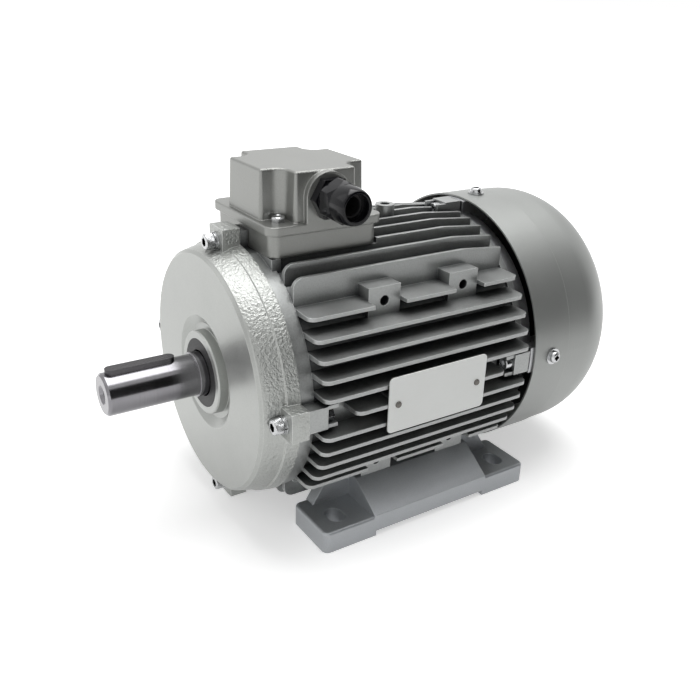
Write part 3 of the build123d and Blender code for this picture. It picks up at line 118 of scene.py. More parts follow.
@dataclass(frozen=True)
class Finish:
    """A surface finish, with its colours, gloss and relief."""

    name: str
    colour: str
    worn_colour: str
    pattern: Pattern
    grain_mm: float
    depth_mm: float
    roughness: float
    metallic: float
    spread: float = 0.08
    coat: float = 0.0
    specular: float = 0.5
    edge_mm: float = 0.0
    # Colour of a painted shade where surfaces close in, and how far it reaches.
    painted_shade: Optional[str] = None
    painted_shade_reach_mm: float = 14.0
    rough_from_mm: Optional[float] = None
    rough_depth_mm: float = 0.0
    rough_grain_mm: float = 1.9
    rough_fade_mm: float = 1.2
    # Colour and width of a painted highlight along outer edges.
    painted_highlight: Optional[str] = None
    painted_highlight_width_mm: float = 0.9

    def build(self) -> bpy.types.Material:
        """Make the material.

        Returns:
            The node material.
        """
        material = bpy.data.materials.new(self.name)
        material.use_nodes = True
        tree = material.node_tree
        tree.nodes.clear()
        place = add_node(tree, "ShaderNodeTexCoord").outputs["Object"]
        height, tone = self._relief(tree, place)
        colour = add_node(
            tree,
            "ShaderNodeMix",
            {"data_type": "RGBA", 6: linear_colour(self.colour), 7: linear_colour(self.worn_colour)},
            {0: tone},
        ).outputs[2]
        # Painted highlight along outer edges.
        if self.painted_highlight:
            colour = self._paint_edge_highlight(tree, colour)
        # Painted shade where surfaces close in.
        if self.painted_shade:
            colour = self._paint_crevice_shade(tree, colour)
        gloss = add_node(
            tree,
            "ShaderNodeMapRange",
            {3: max(self.roughness - self.spread, 0.03), 4: min(self.roughness + self.spread, 1.0)},
            {0: tone},
        ).outputs[0]
        gleam = {
            "Metallic": self.metallic,
            "Specular IOR Level": self.specular,
            "Coat Weight": self.coat,
            "Coat Roughness": 0.2,
        }
        shader = add_node(
            tree,
            "ShaderNodeBsdfPrincipled",
            gleam,
            {"Base Color": colour, "Roughness": gloss, "Normal": self._bump(tree, place, height)},
        )
        add_node(tree, "ShaderNodeOutputMaterial", None, {"Surface": shader.outputs[0]})
        return material

    def _relief(self, tree: bpy.types.NodeTree, place: Any) -> tuple[Any, Any]:
        """Make the fine relief and the slow change of tone.

        Args:
            tree: Node tree of the material.
            place: Object coordinates.

        Returns:
            Sockets of the relief's height and of the tone, both from 0 to 1.
        """
        per_metre = 1 / (self.grain_mm * MM)
        source = place
        scale = (1.0, 1.0, 1.0)
        if self.pattern is Pattern.TURNED:
            source = radial_place(tree, place)
        elif self.pattern is Pattern.BRUSHED:
            scale = (1.0, 0.04, 1.0)
        mapped = add_node(tree, "ShaderNodeMapping", {"Scale": scale}, {"Vector": source}).outputs[0]
        fine = add_node(
            tree,
            "ShaderNodeTexNoise",
            {"Scale": per_metre, "Detail": 4.0 if self.pattern is Pattern.CAST else 2.0, "Roughness": 0.6},
            {"Vector": mapped},
        ).outputs[0]
        slow = add_node(
            tree, "ShaderNodeTexNoise", {"Scale": 1 / (35 * MM), "Detail": 3.0}, {"Vector": place}
        ).outputs[0]
        share = add_node(tree, "ShaderNodeMath", {"operation": "MULTIPLY", 1: 0.45}, {0: slow}).outputs[0]
        blend = add_node(
            tree, "ShaderNodeMath", {"operation": "MULTIPLY_ADD", 1: 0.55}, {0: fine, 2: share}
        ).outputs[0]
        tone = add_node(tree, "ShaderNodeMapRange", {1: 0.36, 2: 0.68}, {0: blend}).outputs[0]
        return fine, tone

    def _paint_edge_highlight(self, tree: bpy.types.NodeTree, colour: Any) -> Any:
        """Blend towards a painted highlight colour on outer edges, where the softened normal leaves the true
        one.

        Args:
            tree: Node tree of the material.
            colour: Colour socket before the painted highlight.

        Returns:
            Colour socket with the painted highlight.
        """
        soft = add_node(tree, "ShaderNodeBevel", {"samples": 6, "Radius": self.painted_highlight_width_mm * MM}).outputs[0]
        true = add_node(tree, "ShaderNodeNewGeometry").outputs["True Normal"]
        match = add_node(tree, "ShaderNodeVectorMath", {"operation": "DOT_PRODUCT"}, {0: soft, 1: true})
        bend = match.outputs["Value"]
        # Mask of the painted highlight, where the softened normal leaves the true one.
        highlight_mask = add_node(tree, "ShaderNodeMapRange", {1: 0.99, 2: 0.8, 3: 0.0, 4: 0.8}, {0: bend})
        return add_node(
            tree,
            "ShaderNodeMix",
            {"data_type": "RGBA", 7: linear_colour(self.painted_highlight or "ffffff")},
            {0: highlight_mask.outputs[0], 6: colour},
        ).outputs[2]

    def _paint_crevice_shade(self, tree: bpy.types.NodeTree, colour: Any) -> Any:
        """Blend towards a painted shade colour where surfaces close in.

        Args:
            tree: Node tree of the material.
            colour: Colour socket before the painted shade is laid in.

        Returns:
            Colour socket with the painted shade laid in.
        """
        # Painted shade from ambient occlusion.
        open_sky = add_node(
            tree, "ShaderNodeAmbientOcclusion", {"samples": 8, "Distance": self.painted_shade_reach_mm * MM}
        ).outputs["AO"]
        shade = add_node(tree, "ShaderNodeMapRange", {1: 0.25, 2: 0.75}, {0: open_sky}).outputs[0]
        return add_node(
            tree,
            "ShaderNodeMix",
            {"data_type": "RGBA", 6: linear_colour(self.painted_shade or "000000")},
            {0: shade, 7: colour},
        ).outputs[2]

    def _bump(self, tree: bpy.types.NodeTree, place: Any, height: Any) -> Any:
        """Make the surface normal from the relief and softened edges.

        Args:
            tree: Node tree of the material.
            place: Object coordinates.
            height: Socket of the fine relief.

        Returns:
            Socket of the normal.
        """
        links = {"Height": height}
        if self.edge_mm:
            soft = add_node(tree, "ShaderNodeBevel", {"samples": 4, "Radius": self.edge_mm * MM})
            links["Normal"] = soft.outputs[0]
        relief = {"Strength": 1.0, "Distance": self.depth_mm * MM}
        normal = add_node(tree, "ShaderNodeBump", relief, links).outputs[0]
        if self.rough_from_mm is None:
            return normal
        coarse = {"Scale": 1 / (self.rough_grain_mm * MM), "Detail": 2.0, "Roughness": 0.6}
        lumps = add_node(tree, "ShaderNodeTexNoise", coarse, {"Vector": place}).outputs[0]
        radius = add_node(tree, "ShaderNodeSeparateXYZ", None, {0: radial_place(tree, place)}).outputs[0]
        edge = self.rough_from_mm * MM
        full = edge + self.rough_fade_mm * MM
        zone = add_node(tree, "ShaderNodeMapRange", {1: edge, 2: full}, {0: radius}).outputs[0]
        raised = add_node(tree, "ShaderNodeMath", {"operation": "MULTIPLY"}, {0: lumps, 1: zone}).outputs[0]
        return add_node(
            tree,
            "ShaderNodeBump",
            {"Strength": 1.0, "Distance": self.rough_depth_mm * MM},
            {"Height": raised, "Normal": normal},
        ).outputs[0]


def radial_place(tree: bpy.types.NodeTree, place: Any) -> Any:
    """Give the radius about the shaft axis and the place along it.

    Args:
        tree: Node tree of the material.
        place: Object coordinates.

    Returns:
        Vector socket with the radius as X and the place along the shaft as Y.
    """
    split = add_node(tree, "ShaderNodeSeparateXYZ", None, {0: place}).outputs
    rise = add_node(
        tree, "ShaderNodeMath", {"operation": "SUBTRACT", 1: SHAFT_HEIGHT * MM}, {0: split[2]}
    ).outputs[0]
    rise_squared = add_node(tree, "ShaderNodeMath", {"operation": "MULTIPLY"}, {0: rise, 1: rise}).outputs[0]
    squares = add_node(
        tree, "ShaderNodeMath", {"operation": "MULTIPLY_ADD"}, {0: split[0], 1: split[0], 2: rise_squared}
    ).outputs[0]
    radius = add_node(tree, "ShaderNodeMath", {"operation": "SQRT"}, {0: squares}).outputs[0]
    return add_node(tree, "ShaderNodeCombineXYZ", None, {0: radius, 1: split[1]}).outputs[0]


# Aluminium flake paint over a sand-cast skin: a fine grain, painted highlights on the fin edges, near black
# painted shade between the fins.
HOUSING_PAINT = Finish(
    "painted_cast_aluminium_housing", "979998", "aeb0af", Pattern.CAST, 1.1, 0.10, 0.38, 0.65,
    edge_mm=0.7, painted_shade="3c3e40", painted_shade_reach_mm=12.0, painted_highlight="dfe1e0",
)
# The same paint on the machined and then painted shield, with a rough-cast outer ring and a painted highlight
# on its edges.
SHIELD_PAINT = Finish(
    "painted_cast_aluminium_shield", "a1a3a0", "b2b4b1", Pattern.CAST, 0.8, 0.04, 0.37, 0.70,
    edge_mm=0.8, rough_from_mm=81.0, rough_depth_mm=0.75, painted_highlight="e0e2df",
)
# Paint on deep-drawn sheet: almost no relief, soft gloss.
COWL_PAINT = Finish(
    "painted_sheet_steel_cowl", "969896", "9d9f9d", Pattern.CAST, 0.5, 0.012, 0.43, 0.60,
    spread=0.03, edge_mm=0.4,
)
# Darker, grainy paint of the feet, with a painted highlight on their edges.
FOOT_PAINT = Finish(
    "painted_cast_aluminium_foot", "a6a9ac", "b6b9bc", Pattern.CAST, 0.7, 0.07, 0.39, 0.60,
    edge_mm=0.8, painted_highlight="b9bcbe",
)
# Pressure die-cast box with smooth paint, a light orange peel and a painted highlight on its edges.
BOX_PAINT = Finish(
    "painted_die_cast_box", "898a87", "949592", Pattern.CAST, 0.9, 0.03, 0.36, 0.65,
    spread=0.04, edge_mm=1.2, painted_highlight="c4c5c2",
)
# Ground shaft: near mirror, with fine rings left by the wheel.
SHAFT_STEEL = Finish(
    "ground_shaft_steel", "737275", "8b8a8d", Pattern.TURNED, 0.35, 0.004, 0.18, 1.0,
    spread=0.04, edge_mm=0.3,
)
# Drawn key bar: darker and duller than the shaft.
KEY_STEEL = Finish(
    "drawn_key_steel", "434244", "545355", Pattern.BRUSHED, 0.3, 0.003, 0.28, 1.0, edge_mm=0.25
)
# Zinc plate on small screws: bright, with hardly any cloud.
ZINC = Finish(
    "zinc_plated_steel", "b2b3b4", "c0c1c2", Pattern.MOULDED, 4.0, 0.003, 0.22, 1.0, spread=0.03, edge_mm=0.15
)
# Punched sheets with a film of oil: nearly black, half dull.
LAMINATION = Finish("oiled_lamination_steel", "3a3a3c", "4d4d50", Pattern.TURNED, 0.5, 0.01, 0.45, 0.9)
# Unpainted casting: pale, satin, with the grain of the mould.
BARE_CASTING = Finish(
    "bare_cast_aluminium", "a3a4a6", "c0c1c3", Pattern.CAST, 0.9, 0.05, 0.4, 1.0, edge_mm=0.4
)
# Copper under varnish: deep brown red with a wet gloss.
COPPER = Finish(
    "varnished_copper_winding", "6b3419", "8f4c26", Pattern.BRUSHED, 0.9, 0.2, 0.35, 0.6, coat=0.5
)
# Anodised plate: pale, with a very fine brushed grain.
PLATE = Finish(
    "satin_anodised_plate", "f0f2ef", "f5f7f5", Pattern.BRUSHED, 0.12, 0.001, 0.38, 0.05, spread=0.02
)
# Rivets of weathered aluminium: dull and darker than the plate.
RIVET_ALUMINIUM = Finish(
    "weathered_aluminium_rivet", "5c5a57", "77746f", Pattern.MOULDED, 0.6, 0.01, 0.4, 0.9, edge_mm=0.15
)
# Oil seal rubber: black and matt.
RUBBER = Finish(
    "black_nitrile_rubber", "161617", "202021", Pattern.MOULDED, 0.8, 0.02, 0.55, 0.0, edge_mm=0.3
)
# Glossy moulded nylon of the gland, nearly black, with sharp small highlights.
NYLON = Finish(
    "black_moulded_nylon", "0e0e11", "151519", Pattern.MOULDED, 1.6, 0.006, 0.16, 0.0,
    specular=0.25, edge_mm=0.3,
)
# Fan plastic filled with glass: black with a dull, slightly rough skin.
FAN_PLASTIC = Finish(
    "black_glass_filled_nylon", "1b1b1d", "262628", Pattern.MOULDED, 0.7, 0.03, 0.5, 0.0, edge_mm=0.3
)
# Bearing cage plastic: ivory and waxy.
CAGE_PLASTIC = Finish("natural_moulded_nylon", "bfb391", "cfc5a6", Pattern.MOULDED, 0.8, 0.01, 0.45, 0.0)
# Terminal board: dark red brown with a light gloss.
BOARD = Finish(
    "brown_moulded_phenolic", "4c2015", "5d2a1c", Pattern.MOULDED, 0.8, 0.02, 0.35, 0.0, edge_mm=0.3
)
# Turned brass of studs and links: warm yellow.
BRASS = Finish("turned_brass", "a98944", "c6a65c", Pattern.MOULDED, 0.9, 0.005, 0.28, 1.0, edge_mm=0.2)


class Wardrobe:
    """Keeps one material for each finish and lays it on the CAD nodes."""

    def __init__(self) -> None:
        """Start with no materials made."""
        self._made: dict[Finish, bpy.types.Material] = {}

    def material(self, finish: Finish) -> bpy.types.Material:
        """Return the finish's material, made the first time it is asked for.

        Args:
            finish: The finish.

        Returns:
            Its material.
        """
        if finish not in self._made:
            self._made[finish] = finish.build()
        return self._made[finish]

    def dress(self, item: bpy.types.Object, finish: Finish) -> None:
        """Put a finish on every slot of an object.

        Args:
            item: The object.
            finish: Its finish.
        """
        if not item.material_slots:
            item.data.materials.append(self.material(finish))
        for slot in item.material_slots:
            slot.material = self.material(finish)


class SubAssembly:
    """CAD nodes that belong together, with their finishes and the pieces modelled in their place."""

    finishes: ClassVar[dict[str, Finish]] = {}

    def build(self, wardrobe: Wardrobe) -> list[bpy.types.Object]:
        """Dress the nodes and build the pieces.

        Args:
            wardrobe: Keeper of the materials.

        Returns:
            The dressed nodes and the new pieces.
        """
        dressed = []
        for node, finish in self.finishes.items():
            wardrobe.dress(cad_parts[node], finish)
            dressed.append(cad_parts[node])
        return dressed + self.pieces(wardrobe)

    def pieces(self, wardrobe: Wardrobe) -> list[bpy.types.Object]:
        """Return the pieces modelled here, of which a plain sub-assembly has none."""
        return []


@dataclass(frozen=True)
class Island:
    """One separate solid of a CAD node, by the corners of its box in metres."""

    low: Vector
    high: Vector

    @property
    def centre(self) -> Vector:
        """Return the middle of the box."""
        return (self.low + self.high) / 2


def islands_of(node: str) -> list[Island]:
    """Find the separate solids of a CAD node.

    Args:
        node: Name of the node.

    Returns:
        The boxes of its solids.
    """
    form = bmesh.new()
    form.from_mesh(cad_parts[node].data)
    bmesh.ops.remove_doubles(form, verts=form.verts, dist=0.001 * MM)
    waiting = set(form.verts)
    found = []
    while waiting:
        front = [waiting.pop()]
        places = []
        while front:
            vertex = front.pop()
            places.append(vertex.co.copy())
            near = [line.other_vert(vertex) for line in vertex.link_edges]
            fresh = [other for other in near if other in waiting]
            waiting.difference_update(fresh)
            front.extend(fresh)
        low = Vector([min(place[k] for place in places) for k in range(3)])
        high = Vector([max(place[k] for place in places) for k in range(3)])
        found.append(Island(low, high))
    form.free()
    return sorted(found, key=lambda island: tuple(island.low))


def spin_profile(
    form: bmesh.types.BMesh, profile: list[tuple[float, float]], steps: int
) -> list[bmesh.types.BMVert]:
    """Spin a profile round the Z axis.

    Args:
        form: The bmesh that gets the skin.
        profile: Radius and height of each corner, in millimetres.
        steps: Steps of the full turn.

    Returns:
        The vertices of the skin.
    """
    known = set(form.verts)
    corners = [form.verts.new((radius, 0.0, height)) for radius, height in profile]
    lines = [form.edges.new(pair) for pair in zip(corners, corners[1:])]
    bmesh.ops.spin(
        form, geom=corners + lines, cent=(0, 0, 0), axis=(0, 0, 1), angle=tau, steps=steps, use_merge=True
    )
    skin = [vertex for vertex in form.verts if vertex not in known]
    bmesh.ops.remove_doubles(form, verts=skin, dist=0.001)
    return [vertex for vertex in form.verts if vertex not in known]


def cut_flats(form: bmesh.types.BMesh, verts: list[bmesh.types.BMVert], flats: float) -> None:
    """Cut six flats on a skin round the Z axis.

    Args:
        form: The bmesh.
        verts: Vertices of the skin.
        flats: Distance across the flats in millimetres.
    """
    skin = set(verts)
    for side in range(6):
        normal = Vector((cos(side * pi / 3), sin(side * pi / 3), 0.0))
        near = [vertex for vertex in form.verts if vertex in skin]
        lines = [line for line in form.edges if all(vertex in skin for vertex in line.verts)]
        faces = [face for face in form.faces if all(vertex in skin for vertex in face.verts)]
        known = set(form.verts)
        cut = bmesh.ops.bisect_plane(
            form, geom=near + lines + faces, plane_co=normal * flats / 2, plane_no=normal, clear_outer=True
        )
        skin = {vertex for vertex in skin if vertex.is_valid}
        skin.update(vertex for vertex in form.verts if vertex not in known)
        rim = [item for item in cut["geom_cut"] if isinstance(item, bmesh.types.BMEdge)]
        bmesh.ops.holes_fill(form, edges=rim, sides=0)


class Recess(Enum):
    """Shape of the drive in a screw's head."""

    HEXAGON = "hexagon"
    CROSS = "cross"


def recess_loop(form: bmesh.types.BMesh, recess: Recess, size: float, steps: int) -> None:
    """Draw the outline of a recess as loose edges at height nought.

    Args:
        form: The bmesh.
        recess: Shape of the recess.
        size: Distance across the flats, or length of the cross, in millimetres.
        steps: Vertices of the outline.
    """
    corners = 6 if recess is Recess.HEXAGON else 12
    ring = bmesh.ops.create_circle(form, segments=corners, radius=size / sqrt(3))["verts"]
    if recess is Recess.CROSS:
        wide = size / 2
        narrow = CROSS_ARM_SHARE * wide
        quarter = (
            Vector((wide, narrow, 0.0)),
            Vector((narrow, narrow, 0.0)),
            Vector((narrow, wide, 0.0)),
        )
        for index, vertex in enumerate(ring):
            vertex.co = Matrix.Rotation(index // 3 * pi / 2, 3, "Z") @ quarter[index % 3]
    loose = [line for line in form.edges if line.is_wire]
    bmesh.ops.subdivide_edges(form, edges=loose, cuts=steps // corners - 1)


@dataclass
class Screw:
    """One kind of screw, drawn head up along Z with its top at nought, in millimetres."""

    head_radius: float
    head_height: float
    shank_radius: float
    tip_chamfer: float = 0.6
    recess_margin: float = 0.3
    steps: int = 96

    def skin(self, length: float) -> list[tuple[float, float]]:
        """Return the profile from the rim of the top to the tip.

        Args:
            length: Whole length of the screw in millimetres.

        Returns:
            Radius and height of each corner.
        """
        return self.head_profile() + [
            (self.shank_radius, -self.head_height),
            (self.shank_radius, self.tip_chamfer - length),
            (self.shank_radius - self.tip_chamfer, -length),
            (0.0, -length),
        ]

    def head_profile(self) -> list[tuple[float, float]]:
        """Return the profile of the head alone."""
        raise NotImplementedError

    def add_to(self, form: bmesh.types.BMesh, length: float) -> None:
        """Add the screw to a bmesh.

        Args:
            form: The bmesh.
            length: Whole length of the screw in millimetres.
        """
        raise NotImplementedError

    def sink_recess(self, form: bmesh.types.BMesh, recess: Recess, size: float, depth: float) -> None:
        """Join the open top of the head to a recess and close its floor.

        Args:
            form: The bmesh, whose only open rim is the top of the head.
            recess: Shape of the recess.
            size: Its size in millimetres.
            depth: Its depth in millimetres.
        """
        rim = [line for line in form.edges if line.is_boundary]
        recess_loop(form, recess, size, self.steps)
        loop = [line for line in form.edges if line.is_wire]
        bmesh.ops.bridge_loops(form, edges=rim + loop)
        sunk = bmesh.ops.extrude_edge_only(form, edges=loop)["geom"]
        low = [item for item in sunk if isinstance(item, bmesh.types.BMVert)]
        bmesh.ops.translate(form, verts=low, vec=(0.0, 0.0, -depth))
        open_rim = [line for line in form.edges if line.is_boundary]
        bmesh.ops.holes_fill(form, edges=open_rim, sides=0)


@dataclass
class CapScrew(Screw):
    """Socket-head screw with a knurled side and a hexagonal socket."""

    socket_flats: float = 5.0
    socket_depth: float = 3.2
    knurl_depth: float = 0.18
    foot_chamfer: float = 0.4

    def head_profile(self) -> list[tuple[float, float]]:
        """Describe a flat top with a rounded rim and the straight side.

        Returns:
            Radius and height of each corner.
        """
        return [
            (self.socket_flats / sqrt(3) + self.recess_margin, 0.0),
            (self.head_radius - 0.7, 0.0),
            (self.head_radius - 0.3, -0.15),
            (self.head_radius - 0.05, -0.5),
            (self.head_radius, -0.8),
            (self.head_radius, self.foot_chamfer - self.head_height),
            (self.head_radius - self.foot_chamfer, -self.head_height),
        ]

    def add_to(self, form: bmesh.types.BMesh, length: float) -> None:
        """Add the screw to a bmesh.

        Args:
            form: The bmesh.
            length: Whole length of the screw in millimetres.
        """
        verts = spin_profile(form, self.skin(length), self.steps)
        side = [vertex for vertex in verts if vertex.co.xy.length > self.head_radius - 0.01]
        grooves = [vertex for vertex in side if self._is_groove(vertex)]
        share = 1 - self.knurl_depth / self.head_radius
        bmesh.ops.scale(form, verts=grooves, vec=(share, share, 1.0))
        self.sink_recess(form, Recess.HEXAGON, self.socket_flats, self.socket_depth)

    def _is_groove(self, vertex: bmesh.types.BMVert) -> bool:
        """Return whether a vertex of the side lies in a groove of the knurl."""
        return round(Vector((1.0, 0.0)).angle_signed(vertex.co.xy) / tau * self.steps) % 2 == 0


@dataclass
class PanScrew(Screw):
    """Screw with an arched head and a cross recess."""

    cross_size: float = 4.4
    cross_depth: float = 1.7
    side_height: float = 0.8
    arch_steps: int = 8

    def head_profile(self) -> list[tuple[float, float]]:
        """Describe an arch that comes down to a short side.

        Returns:
            Radius and height of each corner.
        """
        inner = self.cross_size / 2 + self.recess_margin
        arch = []
        for step in range(self.arch_steps + 1):
            turn = step / self.arch_steps * pi / 2
            reach = inner + (self.head_radius - inner) * sin(turn)
            arch.append((reach, (self.head_height - self.side_height) * (cos(turn) - 1)))
        return arch + [(self.head_radius, -self.head_height)]

    def add_to(self, form: bmesh.types.BMesh, length: float) -> None:
        """Add the screw to a bmesh.

        Args:
            form: The bmesh.
            length: Whole length of the screw in millimetres.
        """
        spin_profile(form, self.skin(length), self.steps)
        self.sink_recess(form, Recess.CROSS, self.cross_size, self.cross_depth)


@dataclass
class HexScrew(Screw):
    """Screw with a hexagonal head, chamfered corners and a dished top."""

    flats: float = 8.0
    dish_depth: float = 0.35
    dish_margin: float = 0.9
    dish_slope: float = 0.4
    corner_margin: float = 0.3
    corner_chamfer: float = 0.55

    def head_profile(self) -> list[tuple[float, float]]:
        """Describe the dish, the chamfer and the side from which the flats are cut.

        Returns:
            Radius and height of each corner.
        """
        return [
            (0.0, -self.dish_depth),
            (self.flats / 2 - self.dish_margin - self.dish_slope, -self.dish_depth),
            (self.flats / 2 - self.dish_margin, 0.0),
            (self.flats / 2 - self.corner_margin, 0.0),
            (self.head_radius, -self.corner_chamfer),
            (self.head_radius, -self.head_height),
        ]

    def add_to(self, form: bmesh.types.BMesh, length: float) -> None:
        """Add the screw to a bmesh.

        Args:
            form: The bmesh.
            length: Whole length of the screw in millimetres.
        """
        cut_flats(form, spin_profile(form, self.skin(length), self.steps), self.flats)


@dataclass
class ScrewSet:
    """All screws of one CAD node, each in the place of its own solid."""

    node: str
    name: str
    screw: Screw
    outward: Optional[Vector] = None

    def build(self, wardrobe: Wardrobe) -> bpy.types.Object:
        """Build the screws in the place of their node.

        Args:
            wardrobe: Keeper of the materials.

        Returns:
            The screws as one dressed piece.
        """
        form = bmesh.new()
        for island in islands_of(self.node):
            away = self.outward or self._outward_from_shaft(island)
            half = abs(away.dot(island.high - island.low)) / 2
            single = bmesh.new()
            self.screw.add_to(single, 2 * half / MM)
            turn = away.to_track_quat("Z", "Y").to_matrix().to_4x4()
            place = Matrix.Translation(island.centre + away * half) @ turn @ Matrix.Scale(MM, 4)
            bmesh.ops.transform(single, matrix=place, verts=single.verts)
            carrier = bpy.data.meshes.new("carrier")
            single.to_mesh(carrier)
            single.free()
            form.from_mesh(carrier)
            bpy.data.meshes.remove(carrier)
        return finish_piece(self.name, form, self.node, ZINC, wardrobe)

    def _outward_from_shaft(self, island: Island) -> Vector:
        """Find the main direction from the shaft axis to a screw.

        Args:
            island: The screw's solid.

        Returns:
            Unit vector along X or Z.
        """
        away = island.centre - Vector((0.0, island.centre.y, SHAFT_HEIGHT * MM))
        if abs(away.x) > abs(away.z):
            return Vector((1.0 if away.x > 0 else -1.0, 0.0, 0.0))
        return Vector((0.0, 0.0, 1.0 if away.z > 0 else -1.0))


@dataclass
class Casing(SubAssembly):
    """Finned housing on its two feet."""

    finishes: ClassVar[dict[str, Finish]] = {
        "stator_frame": HOUSING_PAINT,
        "right_foot": FOOT_PAINT,
        "left_foot": FOOT_PAINT,
        "foot_screws": ZINC,
    }


@dataclass
class DriveEnd(SubAssembly):
    """Drive-end shield with its screws, nuts and shaft seal."""

    finishes: ClassVar[dict[str, Finish]] = {
        "drive_end_shield": SHIELD_PAINT,
        "front_shield_screws": ZINC,
        "front_shield_washers": ZINC,
        "front_shield_nuts": ZINC,
        "front_shaft_seal": RUBBER,
    }
    screw: Screw = field(default_factory=lambda: CapScrew(5.0, 6.0, 3.0))

    def pieces(self, wardrobe: Wardrobe) -> list[bpy.types.Object]:
        """Return the four socket-head screws as one piece."""
        ahead = Vector((0, -1, 0))
        return [ScrewSet("front_shield_screws", "shield_cap_screws", self.screw, ahead).build(wardrobe)]


@dataclass
class FanEnd(SubAssembly):
    """Rear shield, fan and cowl."""

    finishes: ClassVar[dict[str, Finish]] = {
        "fan_end_shield": BARE_CASTING,
        "rear_shield_screws": ZINC,
        "rear_shaft_seal": RUBBER,
        "fan_cowl": COWL_PAINT,
        "cowl_screws": ZINC,
        "cowl_washers": ZINC,
        "cooling_fan": FAN_PLASTIC,
        "fan_key": KEY_STEEL,
        "fan_clip": KEY_STEEL,
    }
    screw: Screw = field(default_factory=lambda: PanScrew(4.3, 3.4, 2.5))

    def pieces(self, wardrobe: Wardrobe) -> list[bpy.types.Object]:
        """Return the cross-recess screws of the cowl as one piece."""
        return [ScrewSet("cowl_screws", "cowl_pan_screws", self.screw).build(wardrobe)]


@dataclass
class ShaftAndRotor(SubAssembly):
    """Keyed shaft with the cage rotor."""

    finishes: ClassVar[dict[str, Finish]] = {
        "shaft": SHAFT_STEEL,
        "shaft_key": KEY_STEEL,
        "rotor_core": LAMINATION,
        "rotor_cage": BARE_CASTING,
    }


@dataclass
class Bearings(SubAssembly):
    """Both ball bearings and the wave washer that loads them."""

    finishes: ClassVar[dict[str, Finish]] = {
        "front_bearing_outer_ring": SHAFT_STEEL,
        "front_bearing_inner_ring": SHAFT_STEEL,
        "front_bearing_balls": SHAFT_STEEL,
        "front_bearing_cage": CAGE_PLASTIC,
        "rear_bearing_outer_ring": SHAFT_STEEL,
        "rear_bearing_inner_ring": SHAFT_STEEL,
        "rear_bearing_balls": SHAFT_STEEL,
        "rear_bearing_cage": CAGE_PLASTIC,
        "wave_washer": SHAFT_STEEL,
    }


@dataclass
class WoundCore(SubAssembly):
    """Slotted stator core with its winding."""

    finishes: ClassVar[dict[str, Finish]] = {
        "stator_core": LAMINATION,
        "stator_winding": COPPER,
    }


@dataclass
class TerminalBox(SubAssembly):
    """Terminal box with its board and cover screws."""

    finishes: ClassVar[dict[str, Finish]] = {
        "terminal_box_base": BOX_PAINT,
        "terminal_box_cover": BOX_PAINT,
        "box_base_gasket": RUBBER,
        "box_cover_gasket": RUBBER,
        "box_base_screws": ZINC,
        "box_cover_screws": ZINC,
        "terminal_board": BOARD,
        "terminal_studs": BRASS,
        "terminal_links": BRASS,
        "terminal_nuts": BRASS,
        "board_screws": ZINC,
        "earth_screw": ZINC,
    }
    screw: Screw = field(default_factory=lambda: HexScrew(4.5, 3.5, 2.5))

    def pieces(self, wardrobe: Wardrobe) -> list[bpy.types.Object]:
        """Return the hexagon-head screws of the cover as one piece."""
        upwards = Vector((0, 0, 1))
        return [ScrewSet("box_cover_screws", "cover_hex_screws", self.screw, upwards).build(wardrobe)]


@dataclass
class RatingPlate(SubAssembly):
    """Bare plate with its two rivets."""

    finishes: ClassVar[dict[str, Finish]] = {
        "nameplate": PLATE,
        "nameplate_rivets": RIVET_ALUMINIUM,
    }


@dataclass
class CableGland(SubAssembly):
    """Cable gland, whose dome nut is a hexagon that runs out into a glossy dome with a wide mouth."""

    finishes: ClassVar[dict[str, Finish]] = {
        "gland_body": NYLON,
        "gland_nut": NYLON,
        "gland_locknut": NYLON,
        "gland_seal": RUBBER,
    }
    flats: float = 24.0
    hexagon_length: float = 10.0
    ring_radius: float = 10.6
    mouth_radius: float = 8.3
    mouth_depth: float = 6.5
    throat_radius: float = 7.2
    throat_depth: float = 7.2
    bore_radius: float = 9.45
    corner_break: float = 0.25
    skirt_inset: float = 0.1
    rear_chamfer: tuple[float, float] = (0.8, 0.6)
    ring_width: float = 0.8
    mouth_round: float = 0.5
    mouth_draft: float = 0.2
    dome_steps: int = 12
    steps: int = 120

    def profile(self, length: float) -> list[tuple[float, float]]:
        """Return the closed profile, from the rear of the bore round the outside to the bore again.

        Args:
            length: Length of the nut in millimetres.

        Returns:
            Radius and height of each corner, with the mouth upwards.
        """
        corner = self.flats / sqrt(3) - self.corner_break
        skirt = self.flats / 2 - self.skirt_inset
        outside = [
            (self.bore_radius, 0.0),
            (corner - self.rear_chamfer[0], 0.0),
            (corner, self.rear_chamfer[1]),
            (corner, self.hexagon_length - 2.0),
            (skirt, self.hexagon_length + 0.4),
        ]
        dome_start = self.hexagon_length + 1.0
        rise = length - dome_start
        dome = []
        crown = self.ring_radius - self.ring_width
        for step in range(self.dome_steps + 1):
            turn = step / self.dome_steps * pi / 2
            dome.append((crown + (skirt - crown) * cos(turn), dome_start + rise * sin(turn)))
        mouth = [
            (self.mouth_radius + self.mouth_round, length),
            (self.mouth_radius, length - self.mouth_round),
            (self.mouth_radius - self.mouth_draft, length - self.mouth_depth),
            (self.throat_radius, length - self.mouth_depth),
            (self.throat_radius, length - self.throat_depth),
            (self.bore_radius, length - self.throat_depth),
            (self.bore_radius, 0.0),
        ]
        return outside + dome + mouth

    def pieces(self, wardrobe: Wardrobe) -> list[bpy.types.Object]:
        """Build the dome nut in the place of its CAD node.

        Args:
            wardrobe: Keeper of the materials.

        Returns:
            The nut, dressed.
        """
        low, high = (Vector(corner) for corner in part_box("gland_nut"))
        form = bmesh.new()
        skin = spin_profile(form, self.profile((high.x - low.x) / MM), self.steps)
        cut_flats(form, skin, self.flats)
        base = Vector((low.x, (low.y + high.y) / 2, (low.z + high.z) / 2))
        turn = Vector((1, 0, 0)).to_track_quat("Z", "Y").to_matrix().to_4x4()
        place = Matrix.Translation(base) @ turn @ Matrix.Scale(MM, 4)
        bmesh.ops.transform(form, matrix=place, verts=form.verts)
        return [finish_piece("gland_dome_nut", form, "gland_nut", NYLON, wardrobe)]


